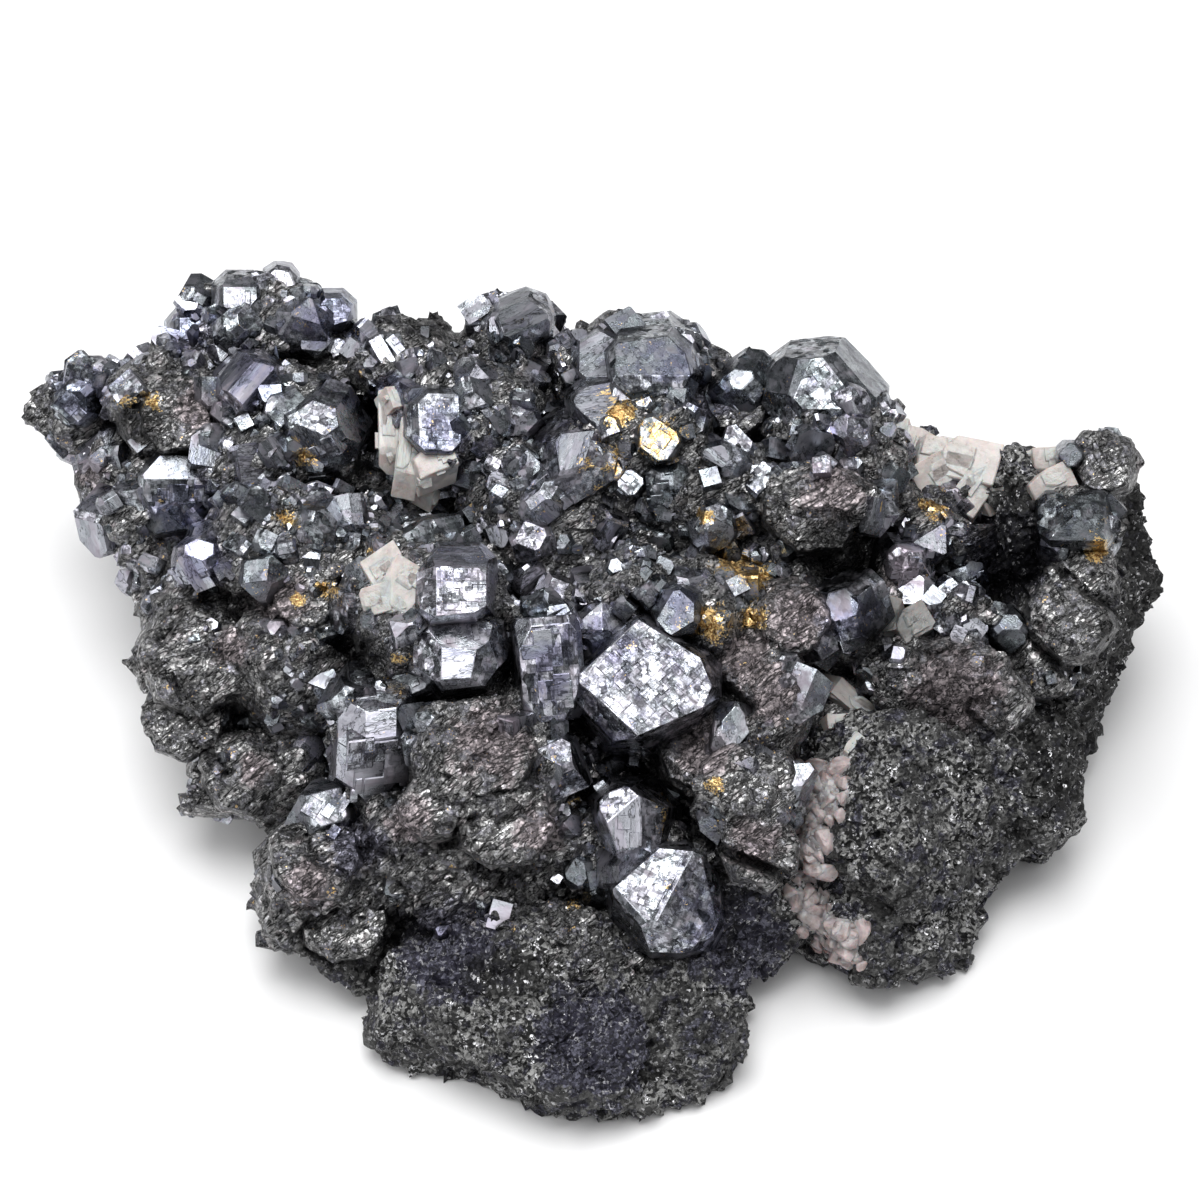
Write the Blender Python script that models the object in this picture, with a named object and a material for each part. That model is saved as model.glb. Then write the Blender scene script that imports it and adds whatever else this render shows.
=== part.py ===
"""Skutterudite specimen: metallic grey crystals grown into lumps of massive ore, on dark granular rock,
with calcite in the pockets and in one vein. It lies on the flat underside of the rock.

+X is right, +Y away from the viewer, +Z up, in metres. The origin is under the middle of the specimen.
Places are written in millimetres on the show plane, which faces someone who looks down at the specimen.
"""

import math
import random

import bmesh
import bpy
from mathutils import Matrix, Vector
from mathutils.bvhtree import BVHTree

MM = 0.001

# Driving dimensions
LOOK_DOWN = math.radians(50)
EYE_DISTANCE = 354 * MM
SHOW_CENTRE = Vector((1.75, 12.2, 20.0)) * MM
GAP = 0.3 * MM
SMALL_CORNERS = 15
LARGE_CORNERS = 20
LARGE_LUMP = 9.8
CORNER_SCATTER = 0.10
CORNER_REACH = (0.96, 1.14)
LEAST_REACH = 0.6
CRYSTAL_SPREAD = 0.07
SMALL_CUBE = 2.2
SINK = 0.35
KEPT_SHARE = 0.76
RHOMB_LEAN = (0.25, 0.12)
RHOMB_TURN = 20
RHOMB_RISE = 30
WELD = 0.005 * MM
TABLE = 400 * MM

# The heart of the rock, and the seam between it and the ore: millimetres and degrees
BED_CENTRE = Vector((1.75, 6.2, 10.0))
BED_HALF_SIZE = (43.0, 29.0)
BED_HALF_HEIGHT = 30.0
BED_TAPER = 0.85
BED_SIDES = 14
SEAM_HEIGHT = 18.5
SEAM_LEDGE = 1.0
ORE_BED_TOP = 25.0
SEAM_SLOPE = 12.0

# The show plane: its right, its up, and the way towards the eye
TO_RIGHT = Vector((1, 0, 0))
TO_TOP = Vector((0, math.sin(LOOK_DOWN), math.cos(LOOK_DOWN)))
TO_EYE = Vector((0, -math.cos(LOOK_DOWN), math.sin(LOOK_DOWN)))
EYE = SHOW_CENTRE + EYE_DISTANCE * TO_EYE

# Massive ore: right and up on the show plane, height of the centre, radii along X, Y and Z
ORE_LUMPS = {
    "crown": (-42, 34.5, 37, 11, 8, 8),
    "crown_side": (-48.5, 36, 36, 5, 4.5, 4.5),
    "crown_link": (-32, 28.5, 33, 6, 6, 6),
    "left_waist": (-60, 16, 26, 5.5, 5, 5),
    "left_shoulder": (-62, 24, 28, 8.5, 6.5, 6.5),
    "left_tip": (-67.5, 23.5, 28, 5, 3.8, 3.8),
    "left_brow": (-53.5, 22, 30, 11, 10, 10),
    "left_flank": (-55, 10.5, 24, 9, 9.5, 9.5),
    "left_neck": (-51, 1, 21, 8.5, 8.5, 8.5),
    "left_lobe": (-49.5, -9, 17, 9.5, 10, 10),
    "lower_lobe": (-43.5, -22, 12, 10, 6, 6),
    "left_heart": (-37.5, 5, 27, 13, 12, 12),
    "under_ball": (-40, 19, 31, 12, 11, 11),
    "notch_top": (-37.5, -9, 21, 10, 10, 10),
    "top_left_ridge": (-22, 29, 37, 11, 7, 7),
    "top_ridge": (-11, 30.5, 38, 8, 8, 8),
    "glitter_field": (-16, 20, 34, 12, 11, 11),
    "top_ridge_middle": (4, 27.5, 38, 11, 8, 8),
    "gold_heart": (5, 17.5, 35, 12, 11, 11),
    "rough_pinnacle": (17.5, 25, 38, 8, 5.5, 6),
    "octahedron_seat": (28.5, 19.5, 37, 8.5, 7, 7),
    "stained_brow": (27.5, 12, 37, 9.5, 6, 6),
    "upper_right_heart": (15, 12.5, 34, 9, 9, 9),
    "upper_heart": (-7.5, 10, 31, 11, 11, 11),
    "middle_left": (-21, -2.5, 29, 11, 11, 11),
    "grey_flank": (-27.5, -15, 23, 7, 8, 8),
    "great_lump": (-14.5, -21.5, 25, 10.5, 10, 10),
    "column_seat": (-7.5, -8, 29, 8, 8, 8),
    "heart": (2.5, -2.5, 30, 9, 9, 9),
    "heart_right": (13, -2.5, 31, 9, 8, 8),
    "brown_lump": (24, -2.5, 30, 8, 8, 8),
    "crack_top": (20, -12.5, 27, 9, 9, 9),
    "crack_side": (17.5, -24, 22, 8, 9.5, 9),
    "crack_floor": (0, -22, 18, 9, 9, 9),
    "largest_seat": (6, -13, 25, 8, 8, 8),
    "front_middle": (4, -31, 15, 8, 8, 8),
    "front_seat": (8, -38, 12, 7, 6, 6),
    "lower_left": (-34, -35, 11, 11, 10, 10),
    "lower_left_ridge": (-21, -31, 16, 11, 9, 9),
    "lower_middle": (-15, -36, 12, 9, 8, 8),
    "great_lump_foot": (-7, -31, 15, 8, 7, 7),
    "right_flank": (35, 15, 33, 6, 7, 7),
    "cluster_seat": (44, 7.5, 29, 7, 5.5, 6),
    "stained_seat": (38, 1.5, 27, 5.5, 6, 6),
    "right_saddle": (45.5, -2.5, 26, 8, 6, 6),
    "octagon_seat": (31, -3, 26, 7, 7, 7),
    "hollow_floor": (30.5, 5, 24, 7, 7, 7),
    "pink_lump": (44.5, -11, 25, 10, 7, 7),
    "corner_rough": (61.5, 17, 35, 4.5, 5, 5),
    "corner_cluster": (59.5, 9.5, 33, 5.5, 5.5, 5.5),
    "corner_lump": (59.5, -1.5, 27, 6, 7, 7),
    "corner_bridge": (59.5, 4.5, 29, 5, 5, 5),
    "corner_link": (54, -7.5, 24, 6.5, 6, 6),
    "hollow_lip": (36, -7, 26, 5, 5, 5),
    "pocket_floor": (-24.5, 10, 28, 7, 7, 7),
    "back_left": (-24, 24, 27, 12, 8, 9),
    "back_middle": (0, 24, 27, 14, 8, 9),
    "back_right": (20, 22, 28, 10, 7, 8),
    "middle_link": (5, 5, 30, 8, 6, 6),
    "brow_foot": (20, 5, 30, 7, 6, 6),
}

# Granular rock, in the same way
ROCK_LUMPS = {
    "tongue": (-5, -52, 2, 20, 17, 14),
    "tongue_left": (-18, -49, 3, 10.5, 13, 12),
    "lower_left_foot": (-32, -42, 6, 7, 7, 7),
    "tongue_right": (8, -51.5, 2, 12, 12, 12),
    "tongue_shoulder": (18, -37, 7, 11, 11, 11),
    "slope": (37, -28, 10, 16, 17, 16),
    "slope_foot": (32.5, -38.5, 3, 12.5, 13, 12),
    "slope_right": (49.5, -22, 10, 10, 15, 15),
    "right_wall": (57, -7, 13, 9, 16, 17),
    "right_wall_top": (61.5, 5, 20, 8.5, 11, 14),
    "dark_saddle": (53, 10, 26, 8, 9, 12),
    "ridge_seat": (43.5, 12, 28, 8, 7, 8),
    "under_left": (-33, 0, 11, 19, 22, 18),
    "under_middle": (-5, 0, 12, 24, 28, 20),
    "under_right": (28, 2, 12, 22, 24, 20),
    "under_front": (-18, -30, 5, 20, 16, 12),
}

# Crystals: right and up on the show plane, half size, form, how far the leading face is turned to the
# right and up from the eye, its spin, and how long the crystal is along its spin direction
CRYSTALS = {
    "crown_top": (-45.5, 38, 3.6, "mixed", 15, 45, 10, 1.2),
    "crown_pea": (-50, 36.5, 1.8, "mixed", -30, 30, 0, 1.0),
    "crown_light": (-40, 39, 2.4, "cubic", 10, 30, 40, 1.1),
    "crown_far": (-36.5, 38, 2.2, "mixed", 30, 20, 0, 1.0),
    "crown_dark": (-45, 34, 2.8, "mixed", -20, 10, 25, 1.1),
    "violet_fractured": (-33.5, 36, 3.2, "mixed", 25, 20, 15, 1.2),
    "grey_hexagon": (-35.5, 32, 2.0, "octahedral", 0, 10, 0, 1.0),
    "left_violet": (-51, 33.5, 2.8, "mixed", -15, 25, 30, 1.1),
    "left_dark": (-51, 29.5, 2.0, "cubic", 10, 0, 20, 1.0),
    "tip_violet": (-64.5, 25, 2.9, "mixed", -10, 35, 35, 1.2),
    "tip_dark": (-61, 28.5, 2.0, "cubic", 0, 40, 15, 1.0),
    "parallelogram": (-43.5, 27.5, 3.8, "cubic", -10, 5, 65, 1.1),
    "blue_grey": (-47, 23.5, 2.2, "mixed", -20, -10, 10, 1.0),
    "crystal_ball": (-35, 21, 4.6, "rounded", 5, 20, 25, 1.0),
    "striped": (-52.5, 12.5, 4.8, "cubic", -15, 35, 10, 1.1),
    "bright_slab": (-42, 15, 2.1, "cubic", 0, 30, 20, 1.3),
    "bright_hexagon": (-38.5, 13.5, 1.7, "mixed", 5, 15, 0, 1.0),
    "violet_white": (-26.5, 31, 3.0, "cubic", 10, 10, 70, 1.3),
    "striped_small": (-29.5, 26, 2.0, "mixed", -10, 20, 60, 1.2),
    "speckled_blue": (-20, 22.5, 3.8, "cubic", 10, 15, 80, 1.1),
    "top_smooth": (-9.5, 34.5, 3.6, "mixed", 20, 50, 20, 1.2),
    "top_small": (-15.5, 34.5, 2.0, "cubic", -20, 40, 0, 1.1),
    "pocket_bright": (-27.5, 12, 2.1, "mixed", -10, 25, 15, 1.0),
    "field_bright": (-12.5, 13, 2.1, "cubic", 0, 30, 10, 1.0),
    "blue_bright": (-7, 12.5, 2.6, "mixed", 15, 20, 50, 1.2),
    "blue_below": (-8.5, 7.5, 2.4, "mixed", 0, 10, 20, 1.1),
    "blue_right": (-4.5, 7, 2.3, "cubic", -15, 15, 40, 1.0),
    "blue_left": (-17, 7.5, 2.2, "mixed", -25, 20, 0, 1.1),
    "violet_hexagon": (-2, 17.5, 5.2, "octahedral", -15, 10, 10, 1.0),
    "flat_grey": (0, 25.5, 3.4, "cubic", 5, 25, 50, 1.1),
    "large_top": (5.5, 28, 5.0, "mixed", 10, 35, 15, 1.3),
    "violet_top_face": (9.5, 29, 2.8, "cubic", 15, 10, 10, 1.1),
    "golden": (7.5, 20, 3.2, "cubic", 5, 15, 75, 1.2),
    "speckled_square": (3.75, 14.5, 3.0, "cubic", -5, 10, 85, 1.2),
    "grey_beside": (8.5, 14.5, 2.6, "mixed", 30, 10, 20, 1.0),
    "bright_square": (13.75, 15, 1.8, "cubic", 0, 20, 15, 1.0),
    "bright_rough": (14, 9.5, 2.8, "cubic", 5, 25, 70, 1.1),
    "violet_pyramid": (14, 24.5, 2.4, "octahedral", 0, 0, 90, 1.1),
    "dark_rough": (18, 26, 3.6, "mixed", -10, 20, 30, 1.1),
    "octahedron": (27.0, 24.5, 5.6, "octahedral", -28, 15, 90, 1.0),
    "bright_cluster": (28, 20.5, 2.2, "mixed", 0, 20, 25, 1.1),
    "grey_cluster": (31.5, 21, 2.4, "cubic", 15, 10, 40, 1.0),
    "bright_rectangle": (-18, 1, 4.2, "cubic", 8, 22, 4, 1.1),
    "great_crystal": (-16.5, -7.5, 6.6, "rounded", 5, 55, 8, 1.15),
    "grey_column": (-28, -17, 4.8, "mixed", -25, 10, 80, 1.4),
    "bright_triangle": (-27.5, -11, 1.8, "octahedral", 0, 10, 0, 1.0),
    "striated_column": (-6.5, -8.5, 3.8, "cubic", 10, 0, 95, 1.6),
    "grey_violet": (0, -4, 4.6, "mixed", 0, 30, 20, 1.1),
    "largest": (6.0, -10, 6.7, "cubic", 3, 12, 41, 1.05),
    "pale_tooth": (16.4, -16.5, 1.9, "cubic", 10, 0, 85, 1.7),
    "teal_facet": (11.5, -1.5, 5.0, "mixed", -15, 20, 10, 1.2),
    "violet_octagon": (30.6, -1.5, 4.0, "mixed", -10, 10, 0, 1.0),
    "hexagon": (2, 4, 2.1, "octahedral", 0, 15, 0, 1.0),
    "white_faced": (3.5, -28.5, 4.8, "mixed", -5, 30, 15, 1.1),
    "front_round": (8, -37.5, 6.7, "rounded", 0, 5, 20, 1.0),
    "lobe_striped": (-47, -19.5, 3.2, "mixed", -10, 45, 20, 1.3),
    "lobe_hexagon": (-48.5, -3.5, 2.0, "cubic", 0, 25, 10, 1.0),
    "notch_bright": (-40, -12.5, 2.1, "mixed", -10, 20, 30, 1.0),
    "notch_mate": (-35, -11, 1.9, "cubic", 10, 25, 50, 1.0),
    "edge_upper": (-61.5, 12, 2.0, "mixed", -30, 10, 0, 1.1),
    "edge_middle": (-59, 2.5, 2.1, "cubic", -20, 20, 30, 1.1),
    "edge_lower": (-56, -0.5, 1.9, "mixed", -10, 30, 60, 1.0),
    "flank_violet": (-49.5, 5, 3.0, "mixed", 0, 25, 20, 1.2),
    "heart_flank": (-42, 3, 2.4, "mixed", -15, 15, 45, 1.1),
    "lower_left_bright": (-34.5, -27, 3.5, "cubic", 10, 20, 60, 1.1),
    "pale_plate": (-12.75, -39.5, 2.0, "cubic", 10, 10, 75, 1.4),
    "front_plate": (-0.5, -35, 1.8, "cubic", 20, 10, 10, 1.2),
    "front_step": (1, -37, 2.2, "cubic", -15, 15, 25, 1.1),
    "corner_main": (59, 10, 3.6, "mixed", 0, 30, 30, 1.1),
    "corner_diamond": (62.4, 9.75, 1.8, "cubic", 10, 10, 45, 1.0),
    "ridge_cluster": (43.75, 11.5, 3.6, "mixed", 10, 20, 60, 1.1),
    "ridge_chip": (38.5, 9, 2.0, "cubic", 0, 30, 20, 1.1),
    "ridge_bright": (43, 7, 1.8, "mixed", 5, 25, 0, 1.0),
    "brown_crystal": (38, 3.75, 3.2, "mixed", -15, 20, 80, 1.1),
    "saddle_crystal": (45.6, 2.75, 2.8, "mixed", 15, 15, 30, 1.1),
    "saddle_chip": (45.0, -2.5, 1.9, "mixed", -10, 25, 10, 1.0),
    "lip_white": (37, -7, 2.0, "cubic", 5, 20, 35, 1.1),
    "corner_knob": (60, -3, 2.8, "cubic", 15, 25, 20, 1.1),
    "right_knob": (51, -4, 2.4, "mixed", 0, 30, 45, 1.0),
}

# Octahedron and dodecahedron planes of each form, as shares of the cube's half size
FORMS = {
    "cubic": (1.36, None),
    "mixed": (1.12, None),
    "octahedral": (0.80, None),
    "rounded": (1.16, 1.18),
}

# Calcite: for each node its rhombs, as right and up on the show plane, half size, length and spin,
# and how far under the surface of the ore or rock their centres lie
CALCITE = {
    "calcite_upper_pocket": [
        (-25.5, 23.0, 1.9, 1.2, 20, 0.4),
        (-25.0, 20.0, 2.4, 1.2, 70, 0.5),
        (-24.5, 16.5, 2.4, 1.1, 40, 0.6),
        (-21.0, 15.5, 2.2, 1.2, 10, 0.8),
    ],
    "calcite_middle_pocket": [
        (-26.5, 3.0, 2.2, 1.1, 30, 0.5),
        (-25.0, 0.8, 2.4, 1.2, 60, 0.6),
        (-27.5, -0.5, 1.9, 1.1, 15, 0.6),
    ],
    "calcite_ridge": [
        (38.8, 16.5, 2.0, 1.2, 20, -0.2),
        (41.5, 15.8, 2.8, 1.2, 50, 0.0),
        (44.5, 16.0, 2.8, 1.1, 15, 0.0),
        (47.5, 15.0, 2.2, 1.2, 70, 0.0),
        (46.5, 12.5, 2.0, 1.2, 35, 0.3),
    ],
    "calcite_corner_block": [(56.0, 13.6, 2.2, 1.25, 25, 0.3)],
    "calcite_corner_top": [(55.5, 17.0, 1.6, 1.4, 5, 0.0)],
    "calcite_grey_pocket": [
        (35.5, -2.5, 2.0, 1.2, 70, 0.4),
        (38.5, -3.5, 1.9, 1.2, 30, 0.5),
    ],
    "calcite_prism": [
        (30.75, -12.5, 1.2, 2.4, -20, 0.1),
        (29.0, -14.5, 1.2, 1.3, 30, 0.5),
    ],
    "calcite_vein": [
        (27.5, -21.5, 2.2, 1.2, 60, 0.7),
        (29.5, -24.5, 2.1, 1.3, 20, 0.7),
        (26.5, -27.0, 2.2, 1.2, 75, 0.7),
        (26.5, -30.5, 2.2, 1.2, 30, 0.7),
        (25.8, -34.0, 2.2, 1.3, 80, 0.7),
        (26.5, -37.5, 2.1, 1.3, 45, 0.7),
        (28.5, -41.0, 2.2, 1.3, -45, 0.7),
        (31.5, -44.5, 2.4, 1.3, -20, 0.6),
    ],
}


def sight_point(right, up, height):
    """The point at this height (mm) on the line from the eye through a place on the show plane."""
    through = SHOW_CENTRE + (right * TO_RIGHT + up * TO_TOP) * MM
    share = (height * MM - EYE.z) / (through.z - EYE.z)
    return EYE + share * (through - EYE)


def sight_turn(turned_right, turned_up, spin):
    """Turns a shape so that its +Z leads towards the eye, turned away from it by these degrees."""
    across, rise = math.radians(turned_right), math.radians(turned_up)
    lead = (
        math.sin(across) * math.cos(rise) * TO_RIGHT
        + math.sin(rise) * TO_TOP
        + math.cos(across) * math.cos(rise) * TO_EYE
    )
    side = (TO_RIGHT - TO_RIGHT.dot(lead) * lead).normalized()
    upright = lead.cross(side)
    frame = Matrix((side, upright, lead)).transposed().to_4x4()
    return frame @ Matrix.Rotation(math.radians(spin), 4, "Z")


def mesh_object(name, bm, collection, place=None):
    mesh = bpy.data.meshes.new(name)
    bm.to_mesh(mesh)
    bm.free()
    shape = bpy.data.objects.new(name, mesh)
    collection.objects.link(shape)
    if place is not None:
        mesh.transform(place)
    return shape


def helper_collection(name):
    """A collection of shapes that are only joined to, or cut from, the specimen's pieces."""
    collection = bpy.data.collections.new(name)
    bpy.context.scene.collection.children.link(collection)
    return collection


def broken_lump(bm, radii, seed, corners):
    """A broken lump with flat facets: the hull of points scattered evenly over an ellipsoid."""
    draw = random.Random(seed)
    bmesh.ops.create_icosphere(bm, subdivisions=2, radius=1.0)
    points = [vert.co.copy() for vert in draw.sample(bm.verts[:], corners)]
    bm.clear()
    for point in points:
        aside = Vector([draw.gauss(0, CORNER_SCATTER) for _ in range(3)])
        outward = (point + aside).normalized() * draw.uniform(*CORNER_REACH)
        bm.verts.new([part * radius for part, radius in zip(outward, radii)])
    hull = bmesh.ops.convex_hull(bm, input=bm.verts)
    inside = [part for part in hull["geom_interior"] if isinstance(part, bmesh.types.BMVert)]
    bmesh.ops.delete(bm, geom=inside, context="VERTS")
    bmesh.ops.recalc_face_normals(bm, faces=bm.faces)


def bed(name, collection, top, wider=0.0, growth=0.0):
    """A plain body with a sloping top, this high (mm) under the show centre, that fills the heart of the
    specimen. Rock fills it up to the seam that the ore grew on, and massive ore fills the rest."""
    half_right, half_deep = [(half + wider) * MM + growth for half in BED_HALF_SIZE]
    bm = bmesh.new()
    bmesh.ops.create_cone(
        bm, cap_ends=True, segments=BED_SIDES, radius1=1.0, radius2=BED_TAPER, depth=2.0
    )
    spread = Matrix.Diagonal((half_right, half_deep, BED_HALF_HEIGHT * MM, 1))
    bmesh.ops.transform(bm, verts=bm.verts, matrix=Matrix.Translation(BED_CENTRE * MM) @ spread)
    slope = math.radians(SEAM_SLOPE)
    upright = Vector((0, -math.sin(slope), math.cos(slope)))
    seam_point = Vector((SHOW_CENTRE.x, SHOW_CENTRE.y, top * MM))
    cut_away(bm, upright, upright.dot(seam_point) + growth)
    return mesh_object(name, bm, collection)


def lump(name, row, collection, growth=0.0):
    """A lump of the tables. Growth moves every facet out by at least that much."""
    right, up, height, *radii = row
    share = 1 + growth / (LEAST_REACH * min(radii) * MM)
    corners = LARGE_CORNERS if max(radii) > LARGE_LUMP else SMALL_CORNERS
    bm = bmesh.new()
    broken_lump(bm, [radius * MM * share for radius in radii], name, corners)
    return mesh_object(name, bm, collection, Matrix.Translation(sight_point(right, up, height)))


def cut_away(bm, way, distance):
    """Cuts a convex shape by a plane and closes the cut."""
    everything = bm.verts[:] + bm.edges[:] + bm.faces[:]
    cut = bmesh.ops.bisect_plane(
        bm, geom=everything, plane_co=way * distance, plane_no=way, clear_outer=True
    )
    rim = [part for part in cut["geom_cut"] if isinstance(part, bmesh.types.BMEdge)]
    if rim:
        bmesh.ops.edgeloop_fill(bm, edges=rim)


def crystal_mesh(form, half, seed):
    """A cube, half size 1, with octahedron faces on its corners and dodecahedron faces on its edges.
    Only the octahedral form is cut on the side that is grown into the ore. A small cube stays whole."""
    draw = random.Random(seed)
    corner, edge = FORMS[form] if form != "cubic" or half > SMALL_CUBE else (None, None)
    bm = bmesh.new()
    bmesh.ops.create_cube(bm, size=2.0)
    for x in (-1, 0, 1):
        for y in (-1, 0, 1):
            for z in (-1, 0, 1):
                directions = abs(x) + abs(y) + abs(z)
                buried = z < 0 and form != "octahedral"
                reach = {2: edge, 3: corner}.get(directions)
                if buried or reach is None:
                    continue
                way = Vector((x, y, z)).normalized()
                cut_away(bm, way, reach * draw.uniform(1 - CRYSTAL_SPREAD, 1 + CRYSTAL_SPREAD))
    bmesh.ops.recalc_face_normals(bm, faces=bm.faces)
    if form == "octahedral":
        corner_up = Vector((1, 1, 1)).rotation_difference(Vector((0, 0, 1))).to_matrix()
        bmesh.ops.rotate(bm, verts=bm.verts, cent=(0, 0, 0), matrix=corner_up)
    return bm


def surface_point(surface, right, up):
    """Where the line of sight through a place on the show plane meets a surface, and its direction."""
    through = SHOW_CENTRE + (right * TO_RIGHT + up * TO_TOP) * MM
    sight = (through - EYE).normalized()
    met = surface.ray_cast(EYE, sight)[0]
    if met is None:
        raise ValueError(f"nothing to grow on at {right}, {up}")
    return met, sight


def crystal(name, row, surface, collection, growth=0.0):
    """One crystal of the table, sunk by a third of its half size into what it grew on."""
    right, up, half, form, turned_right, turned_up, spin, length = row
    met, sight = surface_point(surface, right, up)
    size = half * MM + growth
    place = (
        Matrix.Translation(met + SINK * half * MM * sight)
        @ sight_turn(turned_right, turned_up, spin)
        @ Matrix.Diagonal((size * length, size, size, 1))
    )
    return mesh_object(name, crystal_mesh(form, half, name), collection, place)


def rhomb(name, row, surface, collection, growth=0.0):
    """One calcite rhomb, leaning out of the surface that it grew on."""
    right, up, half, length, spin, depth = row
    met, sight = surface_point(surface, right, up)
    size = half * MM + growth
    draw = random.Random(name)
    bm = bmesh.new()
    bmesh.ops.create_cube(bm, size=2.0)
    place = (
        Matrix.Translation(met + depth * half * MM * sight)
        @ sight_turn(draw.uniform(-RHOMB_TURN, RHOMB_TURN), draw.uniform(0, RHOMB_RISE), spin)
        @ Matrix.Diagonal((size * length, size, size, 1))
        @ Matrix.Shear("XY", 4, RHOMB_LEAN)
    )
    return mesh_object(name, bm, collection, place)


def surface_of(shapes):
    """One surface of several shapes, to measure on."""
    points, faces = [], []
    for shape in shapes:
        first = len(points)
        points += [vert.co.copy() for vert in shape.data.vertices]
        faces += [[first + index for index in face.vertices] for face in shape.data.polygons]
    return BVHTree.FromPolygons(points, faces)


def combine(name, first, steps, collection, material, kept_share=1.0):
    """Starts with one shape, joins and cuts the collections in turn, and keeps the largest body. A kept
    share under 1 drops that part of the triangles again, the needless ones along the joins first."""
    shape = bpy.data.objects.new(name, first.data.copy())
    collection.objects.link(shape)
    for operation, others in steps:
        modifier = shape.modifiers.new(operation.lower(), "BOOLEAN")
        modifier.operation = operation
        modifier.operand_type = "COLLECTION"
        modifier.collection = others
        modifier.solver = "EXACT"
    thinned = shape.modifiers.new("thinned", "DECIMATE")
    thinned.ratio = kept_share
    thinned.use_collapse_triangulate = True
    bpy.context.view_layer.update()
    evaluated = shape.evaluated_get(bpy.context.evaluated_depsgraph_get())
    solid = bpy.data.meshes.new_from_object(evaluated)
    shape.modifiers.clear()
    shape.data = solid
    keep_largest(solid)
    solid.name = name
    solid.materials.clear()
    solid.materials.append(material)
    return shape


def keep_largest(mesh):
    """Leaves out closed pockets and chips: only the body with the most volume stays."""
    bm = bmesh.new()
    bm.from_mesh(mesh)
    bmesh.ops.remove_doubles(bm, verts=bm.verts, dist=WELD)
    bmesh.ops.dissolve_degenerate(bm, edges=bm.edges, dist=WELD)
    bmesh.ops.triangulate(bm, faces=bm.faces)
    bodies, seen = [], set()
    for start in bm.faces:
        if start in seen:
            continue
        seen.add(start)
        body, front = [], [start]
        while front:
            face = front.pop()
            body.append(face)
            for edge in face.edges:
                for beside in edge.link_faces:
                    if beside not in seen:
                        seen.add(beside)
                        front.append(beside)
        bodies.append(body)
    volumes = [
        sum(f.verts[0].co.dot(f.verts[1].co.cross(f.verts[2].co)) for f in body) for body in bodies
    ]
    main = bodies[volumes.index(max(volumes))]
    others = [face for body in bodies if body is not main for face in body]
    bmesh.ops.delete(bm, geom=others, context="FACES")
    loose = [vert for vert in bm.verts if not vert.link_faces]
    bmesh.ops.delete(bm, geom=loose, context="VERTS")
    bm.to_mesh(mesh)
    bm.free()


def principled(name, colour, roughness, metallic):
    material = bpy.data.materials.new(name)
    material.use_nodes = True
    shader = material.node_tree.nodes["Principled BSDF"]
    shader.inputs["Base Color"].default_value = (*colour, 1)
    shader.inputs["Roughness"].default_value = roughness
    shader.inputs["Metallic"].default_value = metallic
    return material


def build():
    for old in list(bpy.data.objects):
        bpy.data.objects.remove(old)
    specimen = helper_collection("skutterudite specimen")
    ore_shapes = helper_collection("ore shapes")
    ore_seats = helper_collection("ore seats")
    rock_shapes = helper_collection("rock shapes")
    calcite_seats = helper_collection("calcite seats")
    table = helper_collection("table")
    rock_heart = helper_collection("rock heart")
    rock_heart_seat = helper_collection("rock heart seat")

    metal = principled("skutterudite", (0.30, 0.30, 0.33), 0.32, 0.9)
    stone = principled("matrix rock", (0.045, 0.045, 0.052), 0.85, 0.0)
    spar = principled("calcite", (0.62, 0.58, 0.56), 0.45, 0.0)

    ore = [lump(name, row, ore_shapes) for name, row in ORE_LUMPS.items()]
    rock = [lump(name, row, rock_shapes) for name, row in ROCK_LUMPS.items()]
    ore_surface = surface_of(ore)
    whole_surface = surface_of(ore + rock)
    for name, row in CRYSTALS.items():
        ore.append(crystal(name, row, ore_surface, ore_shapes))
        crystal(name, row, ore_surface, ore_seats, growth=GAP)
    for name, row in ORE_LUMPS.items():
        lump(name, row, ore_seats, growth=GAP)

    under_table = bmesh.new()
    bmesh.ops.create_cube(under_table, size=1.0)
    below = Matrix.Translation((0, 0, -TABLE / 2)) @ Matrix.Scale(TABLE, 4)
    mesh_object("under_table", under_table, table, below)
    bed("rock_bed", rock_heart, SEAM_HEIGHT, wider=SEAM_LEDGE)
    bed("rock_bed_seat", rock_heart_seat, SEAM_HEIGHT, wider=SEAM_LEDGE, growth=GAP)
    bed("ore_bed", ore_shapes, ORE_BED_TOP)
    bed("ore_bed_seat", ore_seats, ORE_BED_TOP, growth=GAP)

    for name, rows in CALCITE.items():
        rhombs = helper_collection(name + " rhombs")
        blocks = []
        for number, row in enumerate(rows):
            blocks.append(rhomb(f"{name}_rhomb_{number}", row, whole_surface, rhombs))
            rhomb(f"{name}_rhomb_{number}", row, whole_surface, calcite_seats, growth=GAP)
        combine(name, blocks[0], [("UNION", rhombs), ("DIFFERENCE", table)], specimen, spar)

    combine(
        "skutterudite_crystals",
        ore[0],
        [
            ("UNION", ore_shapes),
            ("DIFFERENCE", rock_heart_seat),
            ("DIFFERENCE", calcite_seats),
            ("DIFFERENCE", table),
        ],
        specimen,
        metal,
        KEPT_SHARE,
    )
    combine(
        "matrix_rock",
        rock[0],
        [
            ("UNION", rock_shapes),
            ("DIFFERENCE", ore_seats),
            ("UNION", rock_heart),
            ("DIFFERENCE", calcite_seats),
            ("DIFFERENCE", table),
        ],
        specimen,
        stone,
        KEPT_SHARE,
    )
    for helpers in bpy.context.scene.collection.children:
        if helpers is not specimen:
            for shape in helpers.objects:
                shape.hide_render = True
                shape.display_type = "WIRE"


build()
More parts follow.
